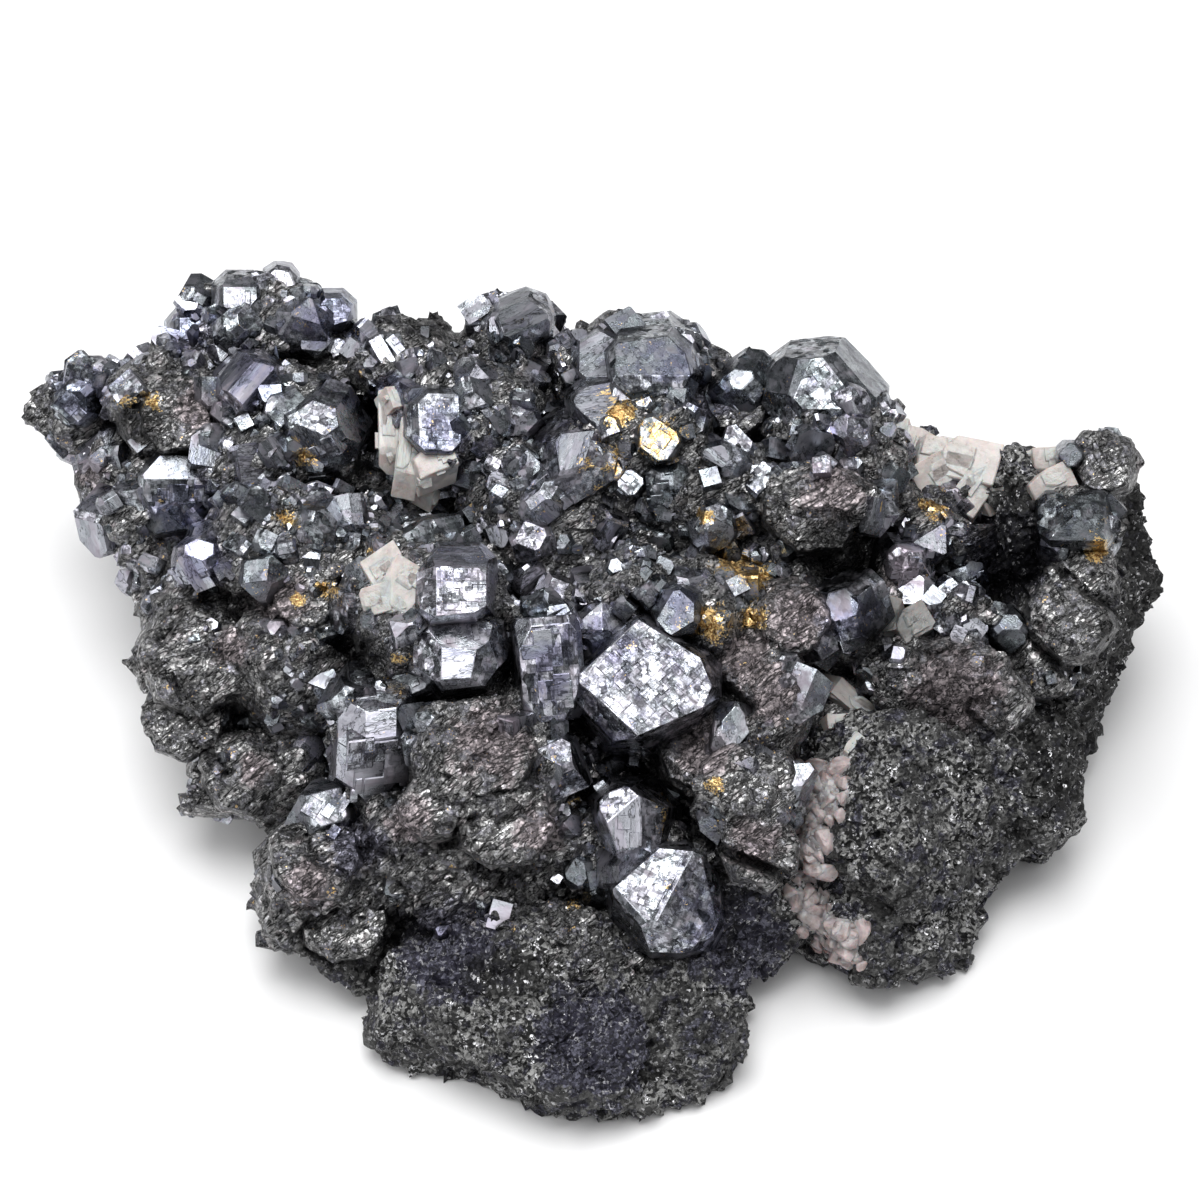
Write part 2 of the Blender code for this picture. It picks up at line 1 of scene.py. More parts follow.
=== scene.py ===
"""Looks of the skutterudite specimen: metallic crystals grown into massive ore, on dark granular rock,
with calcite in the pockets and in one vein.

The tables hold places in millimetres on the show plane, which faces someone who looks down at the
specimen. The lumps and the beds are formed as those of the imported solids, and the crystals and the
calcite lie where the solids have them. Everything else is in metres, +Z up.
"""

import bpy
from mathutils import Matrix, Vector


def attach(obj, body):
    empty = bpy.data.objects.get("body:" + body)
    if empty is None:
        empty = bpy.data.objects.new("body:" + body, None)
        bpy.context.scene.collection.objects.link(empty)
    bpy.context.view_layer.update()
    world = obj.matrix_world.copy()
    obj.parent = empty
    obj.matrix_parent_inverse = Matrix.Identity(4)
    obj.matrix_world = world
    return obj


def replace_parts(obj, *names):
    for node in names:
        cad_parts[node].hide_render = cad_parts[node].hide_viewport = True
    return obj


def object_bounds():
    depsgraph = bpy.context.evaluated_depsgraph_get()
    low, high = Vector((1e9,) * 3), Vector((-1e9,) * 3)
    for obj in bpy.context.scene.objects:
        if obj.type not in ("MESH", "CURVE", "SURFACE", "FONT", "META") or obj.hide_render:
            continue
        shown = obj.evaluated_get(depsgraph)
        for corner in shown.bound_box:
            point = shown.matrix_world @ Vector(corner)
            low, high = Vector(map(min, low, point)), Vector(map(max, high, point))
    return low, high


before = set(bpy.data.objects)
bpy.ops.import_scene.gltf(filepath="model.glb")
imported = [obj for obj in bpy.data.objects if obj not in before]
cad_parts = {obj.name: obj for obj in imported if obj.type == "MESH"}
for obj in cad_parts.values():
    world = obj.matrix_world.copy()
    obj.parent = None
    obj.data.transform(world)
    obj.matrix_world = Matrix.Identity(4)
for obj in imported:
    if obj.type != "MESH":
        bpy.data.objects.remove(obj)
cad_box = [list(corner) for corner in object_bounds()]

import itertools
import math
import random

import bmesh
import bpy
import numpy as np
from mathutils import Matrix, Vector
from mathutils.bvhtree import BVHTree

MM = 0.001

# The view: from this far, down at the middle of the specimen
LOOK_DOWN = math.radians(50)
EYE_DISTANCE = 354 * MM
SHOW_CENTRE = Vector((1.75, 12.2, 20.0)) * MM
LENS = 85
FILM = 36
TO_RIGHT = Vector((1, 0, 0))
TO_TOP = Vector((0, math.sin(LOOK_DOWN), math.cos(LOOK_DOWN)))
TO_EYE = Vector((0, -math.cos(LOOK_DOWN), math.sin(LOOK_DOWN)))
EYE = SHOW_CENTRE + EYE_DISTANCE * TO_EYE

# How lumps, crystals, calcite and beds are formed, with the values that the solids have
SMALL_CORNERS = 15
LARGE_CORNERS = 20
LARGE_LUMP = 9.8
CORNER_SCATTER = 0.10
CORNER_REACH = (0.96, 1.14)
CRYSTAL_SPREAD = 0.07
SMALL_CUBE = 2.2
SINK = 0.35
RHOMB_LEAN = (0.25, 0.12)
RHOMB_TURN = 20
RHOMB_RISE = 30
BED_CENTRE = Vector((1.75, 6.2, 10.0))
BED_HALF_SIZE = (43.0, 29.0)
BED_HALF_HEIGHT = 30.0
BED_TAPER = 0.85
BED_SIDES = 14
SEAM_HEIGHT = 18.5
SEAM_LEDGE = 1.0
ORE_BED_TOP = 25.0
SEAM_SLOPE = 12.0

# Massive ore: right and up on the show plane, height of the centre, radii along X, Y and Z
ORE_LUMPS = {
    "crown": (-42, 34.5, 37, 11, 8, 8),
    "crown_side": (-48.5, 36, 36, 5, 4.5, 4.5),
    "crown_link": (-32, 28.5, 33, 6, 6, 6),
    "left_waist": (-60, 16, 26, 5.5, 5, 5),
    "left_shoulder": (-62, 24, 28, 8.5, 6.5, 6.5),
    "left_tip": (-67.5, 23.5, 28, 5, 3.8, 3.8),
    "left_brow": (-53.5, 22, 30, 11, 10, 10),
    "left_flank": (-55, 10.5, 24, 9, 9.5, 9.5),
    "left_neck": (-51, 1, 21, 8.5, 8.5, 8.5),
    "left_lobe": (-49.5, -9, 17, 9.5, 10, 10),
    "lower_lobe": (-43.5, -22, 12, 10, 6, 6),
    "left_heart": (-37.5, 5, 27, 13, 12, 12),
    "under_ball": (-40, 19, 31, 12, 11, 11),
    "notch_top": (-37.5, -9, 21, 10, 10, 10),
    "top_left_ridge": (-22, 29, 37, 11, 7, 7),
    "top_ridge": (-11, 30.5, 38, 8, 8, 8),
    "glitter_field": (-16, 20, 34, 12, 11, 11),
    "top_ridge_middle": (4, 27.5, 38, 11, 8, 8),
    "gold_heart": (5, 17.5, 35, 12, 11, 11),
    "rough_pinnacle": (17.5, 25, 38, 8, 5.5, 6),
    "octahedron_seat": (28.5, 19.5, 37, 8.5, 7, 7),
    "stained_brow": (27.5, 12, 37, 9.5, 6, 6),
    "upper_right_heart": (15, 12.5, 34, 9, 9, 9),
    "upper_heart": (-7.5, 10, 31, 11, 11, 11),
    "middle_left": (-21, -2.5, 29, 11, 11, 11),
    "grey_flank": (-27.5, -15, 23, 7, 8, 8),
    "great_lump": (-14.5, -21.5, 25, 10.5, 10, 10),
    "column_seat": (-7.5, -8, 29, 8, 8, 8),
    "heart": (2.5, -2.5, 30, 9, 9, 9),
    "heart_right": (13, -2.5, 31, 9, 8, 8),
    "brown_lump": (24, -2.5, 30, 8, 8, 8),
    "crack_top": (20, -12.5, 27, 9, 9, 9),
    "crack_side": (17.5, -24, 22, 8, 9.5, 9),
    "crack_floor": (0, -22, 18, 9, 9, 9),
    "largest_seat": (6, -13, 25, 8, 8, 8),
    "front_middle": (4, -31, 15, 8, 8, 8),
    "front_seat": (8, -38, 12, 7, 6, 6),
    "lower_left": (-34, -35, 11, 11, 10, 10),
    "lower_left_ridge": (-21, -31, 16, 11, 9, 9),
    "lower_middle": (-15, -36, 12, 9, 8, 8),
    "great_lump_foot": (-7, -31, 15, 8, 7, 7),
    "right_flank": (35, 15, 33, 6, 7, 7),
    "cluster_seat": (44, 7.5, 29, 7, 5.5, 6),
    "stained_seat": (38, 1.5, 27, 5.5, 6, 6),
    "right_saddle": (45.5, -2.5, 26, 8, 6, 6),
    "octagon_seat": (31, -3, 26, 7, 7, 7),
    "hollow_floor": (30.5, 5, 24, 7, 7, 7),
    "pink_lump": (44.5, -11, 25, 10, 7, 7),
    "corner_rough": (61.5, 17, 35, 4.5, 5, 5),
    "corner_cluster": (59.5, 9.5, 33, 5.5, 5.5, 5.5),
    "corner_lump": (59.5, -1.5, 27, 6, 7, 7),
    "corner_bridge": (59.5, 4.5, 29, 5, 5, 5),
    "corner_link": (54, -7.5, 24, 6.5, 6, 6),
    "hollow_lip": (36, -7, 26, 5, 5, 5),
    "pocket_floor": (-24.5, 10, 28, 7, 7, 7),
    "back_left": (-24, 24, 27, 12, 8, 9),
    "back_middle": (0, 24, 27, 14, 8, 9),
    "back_right": (20, 22, 28, 10, 7, 8),
    "middle_link": (5, 5, 30, 8, 6, 6),
    "brow_foot": (20, 5, 30, 7, 6, 6),
}

# Granular rock, in the same way
ROCK_LUMPS = {
    "tongue": (-5, -52, 2, 20, 17, 14),
    "tongue_left": (-18, -49, 3, 10.5, 13, 12),
    "lower_left_foot": (-32, -42, 6, 7, 7, 7),
    "tongue_right": (8, -51.5, 2, 12, 12, 12),
    "tongue_shoulder": (18, -37, 7, 11, 11, 11),
    "slope": (37, -28, 10, 16, 17, 16),
    "slope_foot": (32.5, -38.5, 3, 12.5, 13, 12),
    "slope_right": (49.5, -22, 10, 10, 15, 15),
    "right_wall": (57, -7, 13, 9, 16, 17),
    "right_wall_top": (61.5, 5, 20, 8.5, 11, 14),
    "dark_saddle": (53, 10, 26, 8, 9, 12),
    "ridge_seat": (43.5, 12, 28, 8, 7, 8),
    "under_left": (-33, 0, 11, 19, 22, 18),
    "under_middle": (-5, 0, 12, 24, 28, 20),
    "under_right": (28, 2, 12, 22, 24, 20),
    "under_front": (-18, -30, 5, 20, 16, 12),
}

# Crystals: right and up on the show plane, half size, form, how far the leading face is turned to the
# right and up from the eye, its spin, and how long the crystal is along its spin direction
CRYSTALS = {
    "crown_pea": (-50, 36.5, 1.8, "rounded", -30, 30, 0, 1.0),
    "crown_far": (-36.5, 38, 2.2, "rounded", 30, 20, 0, 1.0),
    "crown_dark": (-45, 34, 2.8, "rounded", -20, 10, 25, 1.1),
    "left_dark": (-51, 29.5, 2.0, "rounded", 10, 0, 20, 1.0),
    "tip_violet": (-64.5, 25, 2.9, "rounded", -10, 35, 35, 1.2),
    "tip_dark": (-61, 28.5, 2.0, "mixed", 0, 40, 15, 1.0),
    "blue_grey": (-47, 23.5, 2.2, "mixed", -20, -10, 10, 1.0),
    "crystal_ball": (-35, 21, 4.6, "rounded", 5, 20, 25, 1.0),
    "bright_slab": (-42, 15, 2.1, "mixed", 0, 30, 20, 1.3),
    "bright_hexagon": (-38.5, 13.5, 1.7, "octahedral", 5, 15, 0, 1.0),
    "striped_small": (-29.5, 26, 2.0, "mixed", -10, 20, 60, 1.2),
    "top_small": (-15.5, 34.5, 1.8, "cubic", -6, 36, 0, 1.1),
    "pocket_bright": (-27.5, 12, 2.1, "rounded", -10, 25, 15, 1.0),
    "field_bright": (-12.5, 13, 2.1, "mixed", 0, 30, 10, 1.0),
    "blue_bright": (-7, 12.5, 2.6, "rounded", 15, 20, 50, 1.2),
    "blue_below": (-8.5, 7.5, 2.4, "mixed", 0, 10, 20, 1.1),
    "blue_right": (-4.5, 7, 2.3, "octahedral", -15, 15, 40, 1.0),
    "blue_left": (-17, 7.5, 2.2, "rounded", -25, 20, 0, 1.1),
    "violet_top_face": (9.5, 29, 2.8, "mixed", 15, 10, 10, 1.1),
    "grey_beside": (8.5, 14.5, 2.6, "rounded", 30, 10, 20, 1.0),
    "bright_square": (13.75, 15, 1.8, "cubic", 0, 20, 15, 1.0),
    "bright_rough": (14, 9.5, 2.8, "rounded", 5, 25, 70, 1.1),
    "dark_rough": (18, 26, 3.6, "rounded", -10, 20, 30, 1.1),
    "bright_cluster": (28, 20.5, 2.2, "rounded", 0, 20, 25, 1.1),
    "grey_cluster": (31.5, 21, 2.4, "mixed", 15, 10, 40, 1.0),
    "grey_column": (-28, -17, 4.8, "rounded", -25, 10, 80, 1.4),
    "bright_triangle": (-27.5, -11, 1.8, "octahedral", 0, 10, 0, 1.0),
    "striated_column": (-6.5, -8.5, 3.8, "cubic", 10, 0, 95, 1.6),
    "pale_tooth": (16.4, -16.5, 2.4, "mixed", 10, 10, 85, 1.4),
    "violet_octagon": (30.6, -1.5, 4.0, "rounded", -10, 10, 0, 1.0),
    "hexagon": (2, 4, 2.1, "octahedral", 0, 15, 0, 1.0),
    "lobe_hexagon": (-48.5, -3.5, 2.0, "octahedral", 0, 25, 10, 1.0),
    "notch_bright": (-40, -12.5, 2.1, "octahedral", -10, 20, 30, 1.0),
    "notch_mate": (-35, -11, 1.9, "mixed", 10, 25, 50, 1.0),
    "edge_upper": (-61.5, 12, 2.0, "rounded", -30, 10, 0, 1.1),
    "edge_middle": (-59, 2.5, 2.1, "mixed", -20, 20, 30, 1.1),
    "edge_lower": (-56, -0.5, 1.9, "rounded", -10, 30, 60, 1.0),
    "flank_violet": (-49.5, 5, 3.0, "rounded", 0, 25, 20, 1.2),
    "heart_flank": (-42, 3, 2.4, "mixed", -15, 15, 45, 1.1),
    "lower_left_bright": (-34.5, -27, 3.5, "mixed", 10, 20, 60, 1.1),
    "pale_plate": (-12.75, -39.5, 2.0, "cubic", 10, 10, 75, 1.4),
    "front_plate": (-0.5, -35, 1.8, "cubic", 20, 10, 10, 1.2),
    "front_step": (1, -37, 2.2, "mixed", -15, 15, 25, 1.1),
    "corner_diamond": (62.4, 9.75, 1.8, "cubic", 10, 10, 45, 1.0),
    "ridge_cluster": (43.75, 11.5, 3.6, "rounded", 10, 20, 60, 1.1),
    "ridge_chip": (38.5, 9, 2.0, "mixed", 0, 30, 20, 1.1),
    "ridge_bright": (43, 7, 1.8, "octahedral", 5, 25, 0, 1.0),
    "brown_crystal": (38, 3.75, 3.2, "rounded", -15, 20, 80, 1.1),
    "saddle_crystal": (45.6, 2.75, 2.8, "rounded", 15, 15, 30, 1.1),
    "saddle_chip": (45.0, -2.5, 1.9, "octahedral", -10, 25, 10, 1.0),
    "lip_white": (37, -7, 2.0, "mixed", 5, 20, 35, 1.1),
    "corner_knob": (60, -3, 2.8, "rounded", 15, 25, 20, 1.1),
    "right_knob": (51, -4, 2.4, "rounded", 0, 30, 45, 1.0),
}

# Octahedron and dodecahedron planes of each form, as shares of the cube's half size
FORMS = {
    "cubic": (1.36, 1.34),
    "mixed": (1.06, 1.24),
    "octahedral": (0.80, None),
    "rounded": (1.10, 1.14),
}

# Main crystals, cut facet by facet: right and up on the show plane, how far the leading face stands
# out, how far that face is turned to the right and up from the eye, the number of growth plates on it,
# and its facets in turn. A facet starts at a place, given by its way on the show plane in degrees and
# how far out it is in mm, and falls away from the leading face by its drop
CUT_CRYSTALS = {
    "bright_rectangle": (-17.4, 1.2, 4.0, 2, 18, 9, [
        (90, 2.7, 1.3), (0, 3.0, 5), (-85, 2.7, 3), (-60, 3.3, 3), (180, 2.8, 0.9),
        (186, 5.0, 2.4), (218, 4.4, 1.9), (142, 4.3, 1.6)]),
    "great_crystal": (-17.5, -5.2, 5.6, 2, 37, 3, [
        (95, 3.2, 3.0), (165, 3.9, 1.1), (200, 4.9, 1.7), (-95, 0.8, 0.56), (-142, 2.7, 0.9),
        (-55, 2.8, 0.8), (-15, 3.9, 1.3), (55, 3.8, 2.0), (-90, 4.3, 1.5), (-118, 5.2, 2.5)]),
    "grey_violet": (0.0, -3.8, 4.4, -16, 14, 2, [
        (0, 0.3, 0.62), (132, 2.4, 2.5), (60, 3.3, 2.5), (-45, 2.6, 2.5), (-95, 3.0, 2.5),
        (200, 4.4, 2.5)]),
    "largest": (6.2, -10.0, 6.3, 1, 19, 26, [
        (133, 6.0, 3.0), (58, 5.3, 3.0), (22, 6.4, 2.0), (-67, 5.3, 3.5), (228, 5.6, 1.1),
        (224, 7.9, 4.0), (-22, 6.9, 2.0)]),
    "teal_facet": (9.8, -1.4, 4.0, -10, 10, 0, [
        (150, 1.7, 1.2), (48, 1.9, 1.5), (0, 1.8, 2.0), (-58, 1.9, 1.5), (100, 2.4, 2.0),
        (220, 2.6, 1.4)]),
    "white_faced": (4.5, -28.5, 4.6, 8, -3, 2, [
        (0, 0.6, 0.5), (131, 2.7, 0.5), (200, 3.0, 3.0), (-100, 3.9, 3.0), (-10, 3.2, 3.0),
        (58, 3.6, 3.0), (114, 5.0, 3.0), (-80, 2.2, 0.7)]),
    "front_round": (8.1, -37.5, 6.2, -3, 17, 8, [
        (-28, 0.3, 0.55), (0, 5.4, 1.6), (-85, 2.9, 1.2), (85, 5.9, 3.5), (131, 4.9, 3.0),
        (222, 3.2, 0.5), (222, 4.0, 3.0), (0, 6.4, 5.0), (-90, 6.0, 4.0), (-55, 6.2, 3.0)]),
    "octahedron": (27.7, 26.2, 5.2, 0, 19, 10, [
        (38, 2.5, 1.0), (156, 2.7, 0.45), (-90, 2.3, 1.1), (-140, 3.2, 1.3), (-40, 3.8, 1.2),
        (160, 3.8, 0.9), (40, 4.3, 3.0), (97, 3.9, 3.0), (150, 6.6, 4.0), (-90, 5.5, 3.0)]),
    "large_top": (6.4, 29.8, 7.8, 6, 36, 0, [
        (98, 2.8, 2.5), (45, 3.6, 2.0), (15, 4.8, 2.0), (-90, 1.7, 0.8), (180, 4.3, 1.5),
        (-80, 4.2, 2.0)]),
    "top_left_face": (0.2, 30.2, 4.0, -6, 36, 0, [
        (120, 2.9, 2.0), (60, 2.8, 2.0), (180, 2.7, 2.0), (0, 2.7, 2.0), (-90, 2.2, 1.0),
        (-130, 3.0, 1.6)]),
    "flat_grey": (0.0, 24.6, 5.2, 5, 36, 0, [
        (100, 2.3, 2.5), (-28, 1.7, 2.5), (229, 2.2, 2.5), (128, 2.6, 2.5), (30, 2.9, 2.5)]),
    "violet_hexagon": (-3.4, 18.7, 4.6, 0, 37, 0, [
        (-18, 1.7, 0.5), (-75, 2.0, 1.3), (190, 1.9, 1.5), (96, 2.1, 1.2), (-20, 5.4, 3.0),
        (140, 2.3, 2.0), (45, 3.6, 2.0)]),
    "golden": (7.2, 20.2, 3.4, 1, 20, 5, [
        (57, 1.9, 3.0), (180, 2.1, 2.5), (231, 2.1, 2.0), (-34, 2.4, 2.0), (20, 2.5, 2.0)]),
    "speckled_square": (3.8, 14.7, 3.0, 0, 19, 5, [
        (52, 1.3, 3.0), (232, 1.3, 1.5), (-38, 1.3, 3.0), (142, 1.3, 2.0)]),
    "violet_pyramid": (14.0, 24.8, 2.8, -4, 36, 0, [
        (35, 1.3, 2.0), (-90, 1.5, 0.9), (165, 1.1, 1.5), (-70, 3.0, 2.0)]),
    "crown_top": (-45.0, 38.0, 3.4, 0, 19, 4, [
        (90, 1.1, 0.9), (180, 2.0, 1.4), (-40, 1.8, 2.0), (-92, 1.6, 1.2), (3, 2.1, 1.8),
        (96, 2.2, 2.6), (-120, 2.4, 2.2)]),
    "crown_light": (-39.8, 40.0, 2.4, 2, 17, 3, [
        (80, 1.1, 1.5), (20, 1.2, 2.0), (-60, 1.3, 2.0), (190, 1.4, 1.6), (-110, 1.6, 1.4),
        (130, 1.5, 1.8)]),
    "violet_fractured": (-33.4, 36.1, 3.0, -1, 20, 7, [
        (90, 1.6, 2.2), (40, 1.9, 2.4), (-20, 2.1, 2.5), (-72, 1.7, 2.0), (200, 2.0, 2.2),
        (140, 1.7, 2.3)]),
    "grey_hexagon": (-35.7, 32.7, 2.6, 5, 38, 0, [
        (112, 1.6, 1.5), (40, 1.5, 1.5), (-50, 1.8, 1.5), (-96, 1.5, 1.5), (178, 1.6, 1.5)]),
    "left_violet": (-51.0, 33.6, 3.2, -8, 21, 4, [
        (96, 1.8, 2.2), (25, 1.9, 1.9), (-60, 1.9, 1.8), (180, 1.5, 0.9), (180, 2.3, 2.4),
        (-96, 1.6, 0.9), (-90, 2.4, 2.2)]),
    "parallelogram": (-43.7, 27.2, 3.8, -3, 38, 0, [
        (-42, 1.1, 2.0), (138, 1.3, 0.9), (75, 2.6, 1.5), (228, 2.6, 2.0), (140, 3.4, 2.2)]),
    "white_below": (-41.1, 26.2, 2.4, 0, 19, 1, [
        (92, 0.7, 1.5), (-60, 0.9, 1.6), (200, 1.4, 1.5), (5, 1.3, 1.8)]),
    "striped": (-52.5, 13.2, 4.8, 0, -2, 5, [
        (90, 1.9, 0.40), (212, 3.8, 2.5), (-45, 4.7, 1.2), (0, 3.6, 2.0), (-90, 3.3, 0.45),
        (90, 4.8, 3.0), (180, 4.4, 2.5)]),
    "violet_white": (-27.2, 31.2, 3.0, 0, 18, 4, [
        (30, 0.8, 2.0), (210, 0.9, 2.0), (120, 1.8, 1.5), (-60, 1.9, 1.5)]),
    "violet_white_mate": (-25.6, 31.9, 2.4, 4, 22, 1, [
        (38, 0.7, 2.0), (218, 0.6, 2.0), (128, 1.2, 1.5), (-52, 1.2, 1.5)]),
    "violet_round": (-26.4, 26.3, 2.8, -4, 37, 0, [
        (90, 1.3, 1.4), (40, 1.2, 1.6), (-20, 1.2, 2.0), (-82, 1.3, 1.6), (205, 1.2, 1.4),
        (150, 1.2, 1.6)]),
    "speckled_blue": (-20.1, 22.4, 3.8, 1, 17, 18, [
        (88, 3.3, 1.6), (0, 2.6, 2.4), (182, 2.4, 1.0), (-90, 3.6, 0.8), (-45, 3.7, 1.6),
        (135, 3.3, 1.8)]),
    "corner_main": (59.5, 10.8, 3.4, -2, 35, 0, [
        (186, 0.3, 0.6), (-88, 0.3, 0.7), (95, 0.4, 0.8), (10, 0.5, 0.7), (180, 4.6, 3.0),
        (-90, 3.2, 3.0), (90, 2.4, 3.0), (0, 3.4, 3.0)]),
    "corner_face": (58.8, 18.2, 2.4, -5, 36, 0, [
        (48, 1.1, 2.0), (135, 1.1, 2.0), (225, 1.1, 2.0), (-45, 1.2, 2.0)]),
    "top_smooth": (-9.4, 35.4, 3.4, 13, 42, 0, [
        (115, 1.9, 2.0), (50, 2.0, 1.5), (-65, 1.4, 1.6), (200, 3.1, 1.5), (-10, 3.1, 2.0)]),
    "ring": (-5.1, -2.0, 2.0, 0, 16, 0, [
        (100, 1.3, 1.5), (30, 1.4, 1.5), (-45, 1.4, 1.5), (-110, 1.3, 1.5), (180, 1.4, 1.5)]),
}

# Blocks of massive ore with broad broken faces, in the same way
CUT_BLOCKS = {
    "corner_rough": (63.2, 17.2, 2.0, 6, 24, 2, [
        (112, 1.4, 0.8), (60, 2.6, 1.5), (0, 2.6, 2.0), (-85, 3.2, 2.0), (-45, 3.2, 2.0),
        (180, 2.4, 1.0), (120, 3.4, 1.5)]),
    "corner_upper": (60.6, 3.8, 1.8, 2, 30, 0, [
        (100, 1.8, 0.8), (40, 2.4, 0.9), (0, 2.4, 1.0), (-130, 1.2, 0.6), (-60, 3.0, 0.9),
        (180, 3.2, 0.9)]),
    "corner_lower": (58.8, -1.9, 2.0, 3, 34, 0, [
        (52, 2.6, 0.8), (115, 3.4, 0.9), (226, 1.9, 0.9), (0, 3.6, 0.9), (-72, 4.0, 0.9),
        (180, 4.4, 0.9)]),
    "left_lobe": (-50.6, -6.4, 1.4, -4, 37, 0, [
        (118, 3.6, 0.5), (42, 5.2, 0.7), (-10, 5.8, 0.8), (-62, 5.4, 0.7), (-112, 5.2, 0.6),
        (198, 4.2, 0.6)]),
    "lobe_side": (-52.0, -14.4, 1.3, -8, 14, 1, [
        (118, 3.0, 0.5), (42, 3.6, 0.7), (-10, 4.4, 0.8), (-62, 4.0, 0.8), (-112, 4.4, 0.8),
        (198, 3.6, 0.7)]),
    "lower_lobe": (-44.4, -21.4, 1.6, -4, 2, 0, [
        (126, 1.5, 0.45), (128, 3.0, 1.5), (215, 4.4, 1.2), (-60, 2.4, 0.8), (-15, 4.4, 1.2),
        (60, 2.6, 1.0)]),
    "lobe_stripe": (-46.4, -19.6, 1.2, -3, 20, 2, [
        (126, 0.9, 1.5), (-54, 1.0, 1.5), (36, 3.0, 1.2), (216, 2.6, 1.2)]),
    "stained_brow": (26.9, 12.6, 1.6, 3, 28, 0, [
        (95, 2.4, 0.6), (60, 4.2, 0.8), (0, 5.6, 0.8), (180, 5.4, 0.8), (-90, 2.2, 0.7),
        (-58, 4.0, 0.9), (-130, 3.4, 0.9)]),
    "pinnacle": (17.4, 24.4, 2.4, -3, 33, 1, [
        (122, 2.6, 1.0), (60, 2.8, 1.0), (0, 2.8, 1.2), (180, 3.0, 1.2), (-90, 2.6, 1.0)]),
    "brown_lump": (24.4, -2.0, 1.8, 6, 26, 0, [
        (100, 2.8, 0.8), (30, 3.2, 0.9), (-30, 3.6, 1.0), (-90, 3.2, 0.9), (180, 3.4, 0.8),
        (140, 3.4, 0.9)]),
    "crack_side": (12.8, -18.4, 3.0, 4, 30, 0, [
        (110, 3.4, 0.7), (50, 3.6, 0.8), (-20, 4.2, 0.9), (-70, 4.4, 1.0), (225, 3.6, 1.0),
        (165, 3.6, 0.9)]),
    "crack_step": (17.6, -22.4, 1.8, 12, 22, 0, [
        (135, 2.4, 0.8), (62, 3.2, 0.8), (-20, 3.6, 0.9), (-70, 4.0, 1.0), (225, 2.6, 1.0)]),
    "crack_foot": (20.0, -30.6, 1.6, 12, 30, 0, [
        (120, 3.2, 0.8), (30, 3.2, 0.8), (-40, 3.8, 0.9), (225, 3.0, 1.0), (-100, 3.8, 0.9)]),
    "great_lump_top": (-14.0, -18.0, 1.5, -3, 36, 0, [
        (100, 4.2, 0.6), (30, 4.8, 0.7), (-30, 5.0, 0.7), (-90, 3.6, 0.5), (-150, 4.8, 0.7),
        (165, 5.0, 0.7)]),
    "great_lump_front": (-12.0, -27.4, 1.3, 0, 12, 1, [
        (100, 2.6, 0.5), (30, 4.4, 0.7), (-30, 4.8, 0.8), (-90, 3.2, 0.7), (-150, 4.4, 0.7),
        (165, 4.2, 0.7)]),
    "lump_step": (-21.0, -25.6, 1.6, -8, 26, 1, [
        (100, 1.9, 0.6), (30, 3.2, 0.8), (-60, 2.0, 0.9), (-130, 2.6, 0.9), (175, 3.0, 0.8)]),
    "lower_left_top": (-35.6, -31.6, 1.4, -4, 34, 1, [
        (100, 3.6, 0.6), (38, 4.6, 0.8), (-30, 4.6, 0.7), (-95, 3.6, 0.6), (-140, 4.6, 0.8),
        (170, 4.6, 0.8)]),
    "lower_left_front": (-32.0, -39.6, 1.4, -6, 14, 2, [
        (100, 2.8, 0.6), (38, 4.4, 0.8), (-30, 4.6, 0.9), (-95, 3.6, 0.9), (-140, 4.2, 0.9),
        (170, 4.0, 0.8)]),
    "left_brow": (-53.0, 23.0, 2.0, -2, 34, 0, [
        (95, 3.2, 0.7), (20, 3.8, 0.9), (-50, 3.6, 0.9), (-110, 3.2, 0.8), (180, 3.8, 0.8)]),
    "heart_brow": (-37.0, 0.5, 1.8, -3, 30, 0, [
        (100, 3.0, 0.7), (25, 3.2, 0.9), (-45, 3.4, 1.0), (-110, 3.2, 0.8), (180, 3.4, 0.9)]),
}

# Calcite: for each node its rhombs, as right and up on the show plane, half size, length and spin,
# and how far under the surface of the ore or rock their centres lie
CALCITE = {
    "calcite_upper_pocket": [
        (-25.2, 24.9, 1.5, 1.3, 20, 0.2),
        (-26.3, 21.0, 1.4, 3.0, 93, 0.1),
        (-23.8, 18.4, 1.5, 3.0, 84, 0.2),
        (-20.8, 16.6, 1.9, 1.3, 20, 0.4),
        (-21.4, 13.8, 1.4, 1.2, 60, 0.3),
    ],
    "calcite_middle_pocket": [
        (-26.5, 3.0, 2.2, 1.1, 30, 0.5),
        (-25.0, 0.8, 2.4, 1.2, 60, 0.6),
        (-27.5, -0.5, 1.9, 1.1, 15, 0.6),
    ],
    "calcite_ridge": [
        (39.2, 17.8, 2.4, 1.1, 70, 0.0),
        (42.2, 16.4, 3.0, 1.2, -12, 0.0),
        (45.6, 16.4, 2.8, 1.3, -18, 0.0),
        (40.6, 15.0, 2.2, 1.2, 30, 0.1),
        (47.8, 14.2, 2.2, 1.3, -60, 0.1),
        (46.2, 12.4, 2.0, 1.2, 55, 0.3),
    ],
    "calcite_corner_block": [(56.0, 13.6, 2.2, 1.25, 25, 0.3)],
    "calcite_corner_top": [(55.5, 17.0, 1.6, 1.4, 5, 0.0)],
    "calcite_grey_pocket": [
        (35.5, -2.5, 2.0, 1.2, 70, 0.4),
        (38.5, -3.5, 1.9, 1.2, 30, 0.5),
    ],
    "calcite_prism": [
        (30.9, -12.4, 1.2, 2.6, -38, -1.3),
        (29.6, -15.5, 0.9, 1.8, 4, -0.6),
        (31.5, -18.5, 0.8, 1.8, 50, 0.2),
    ],
}
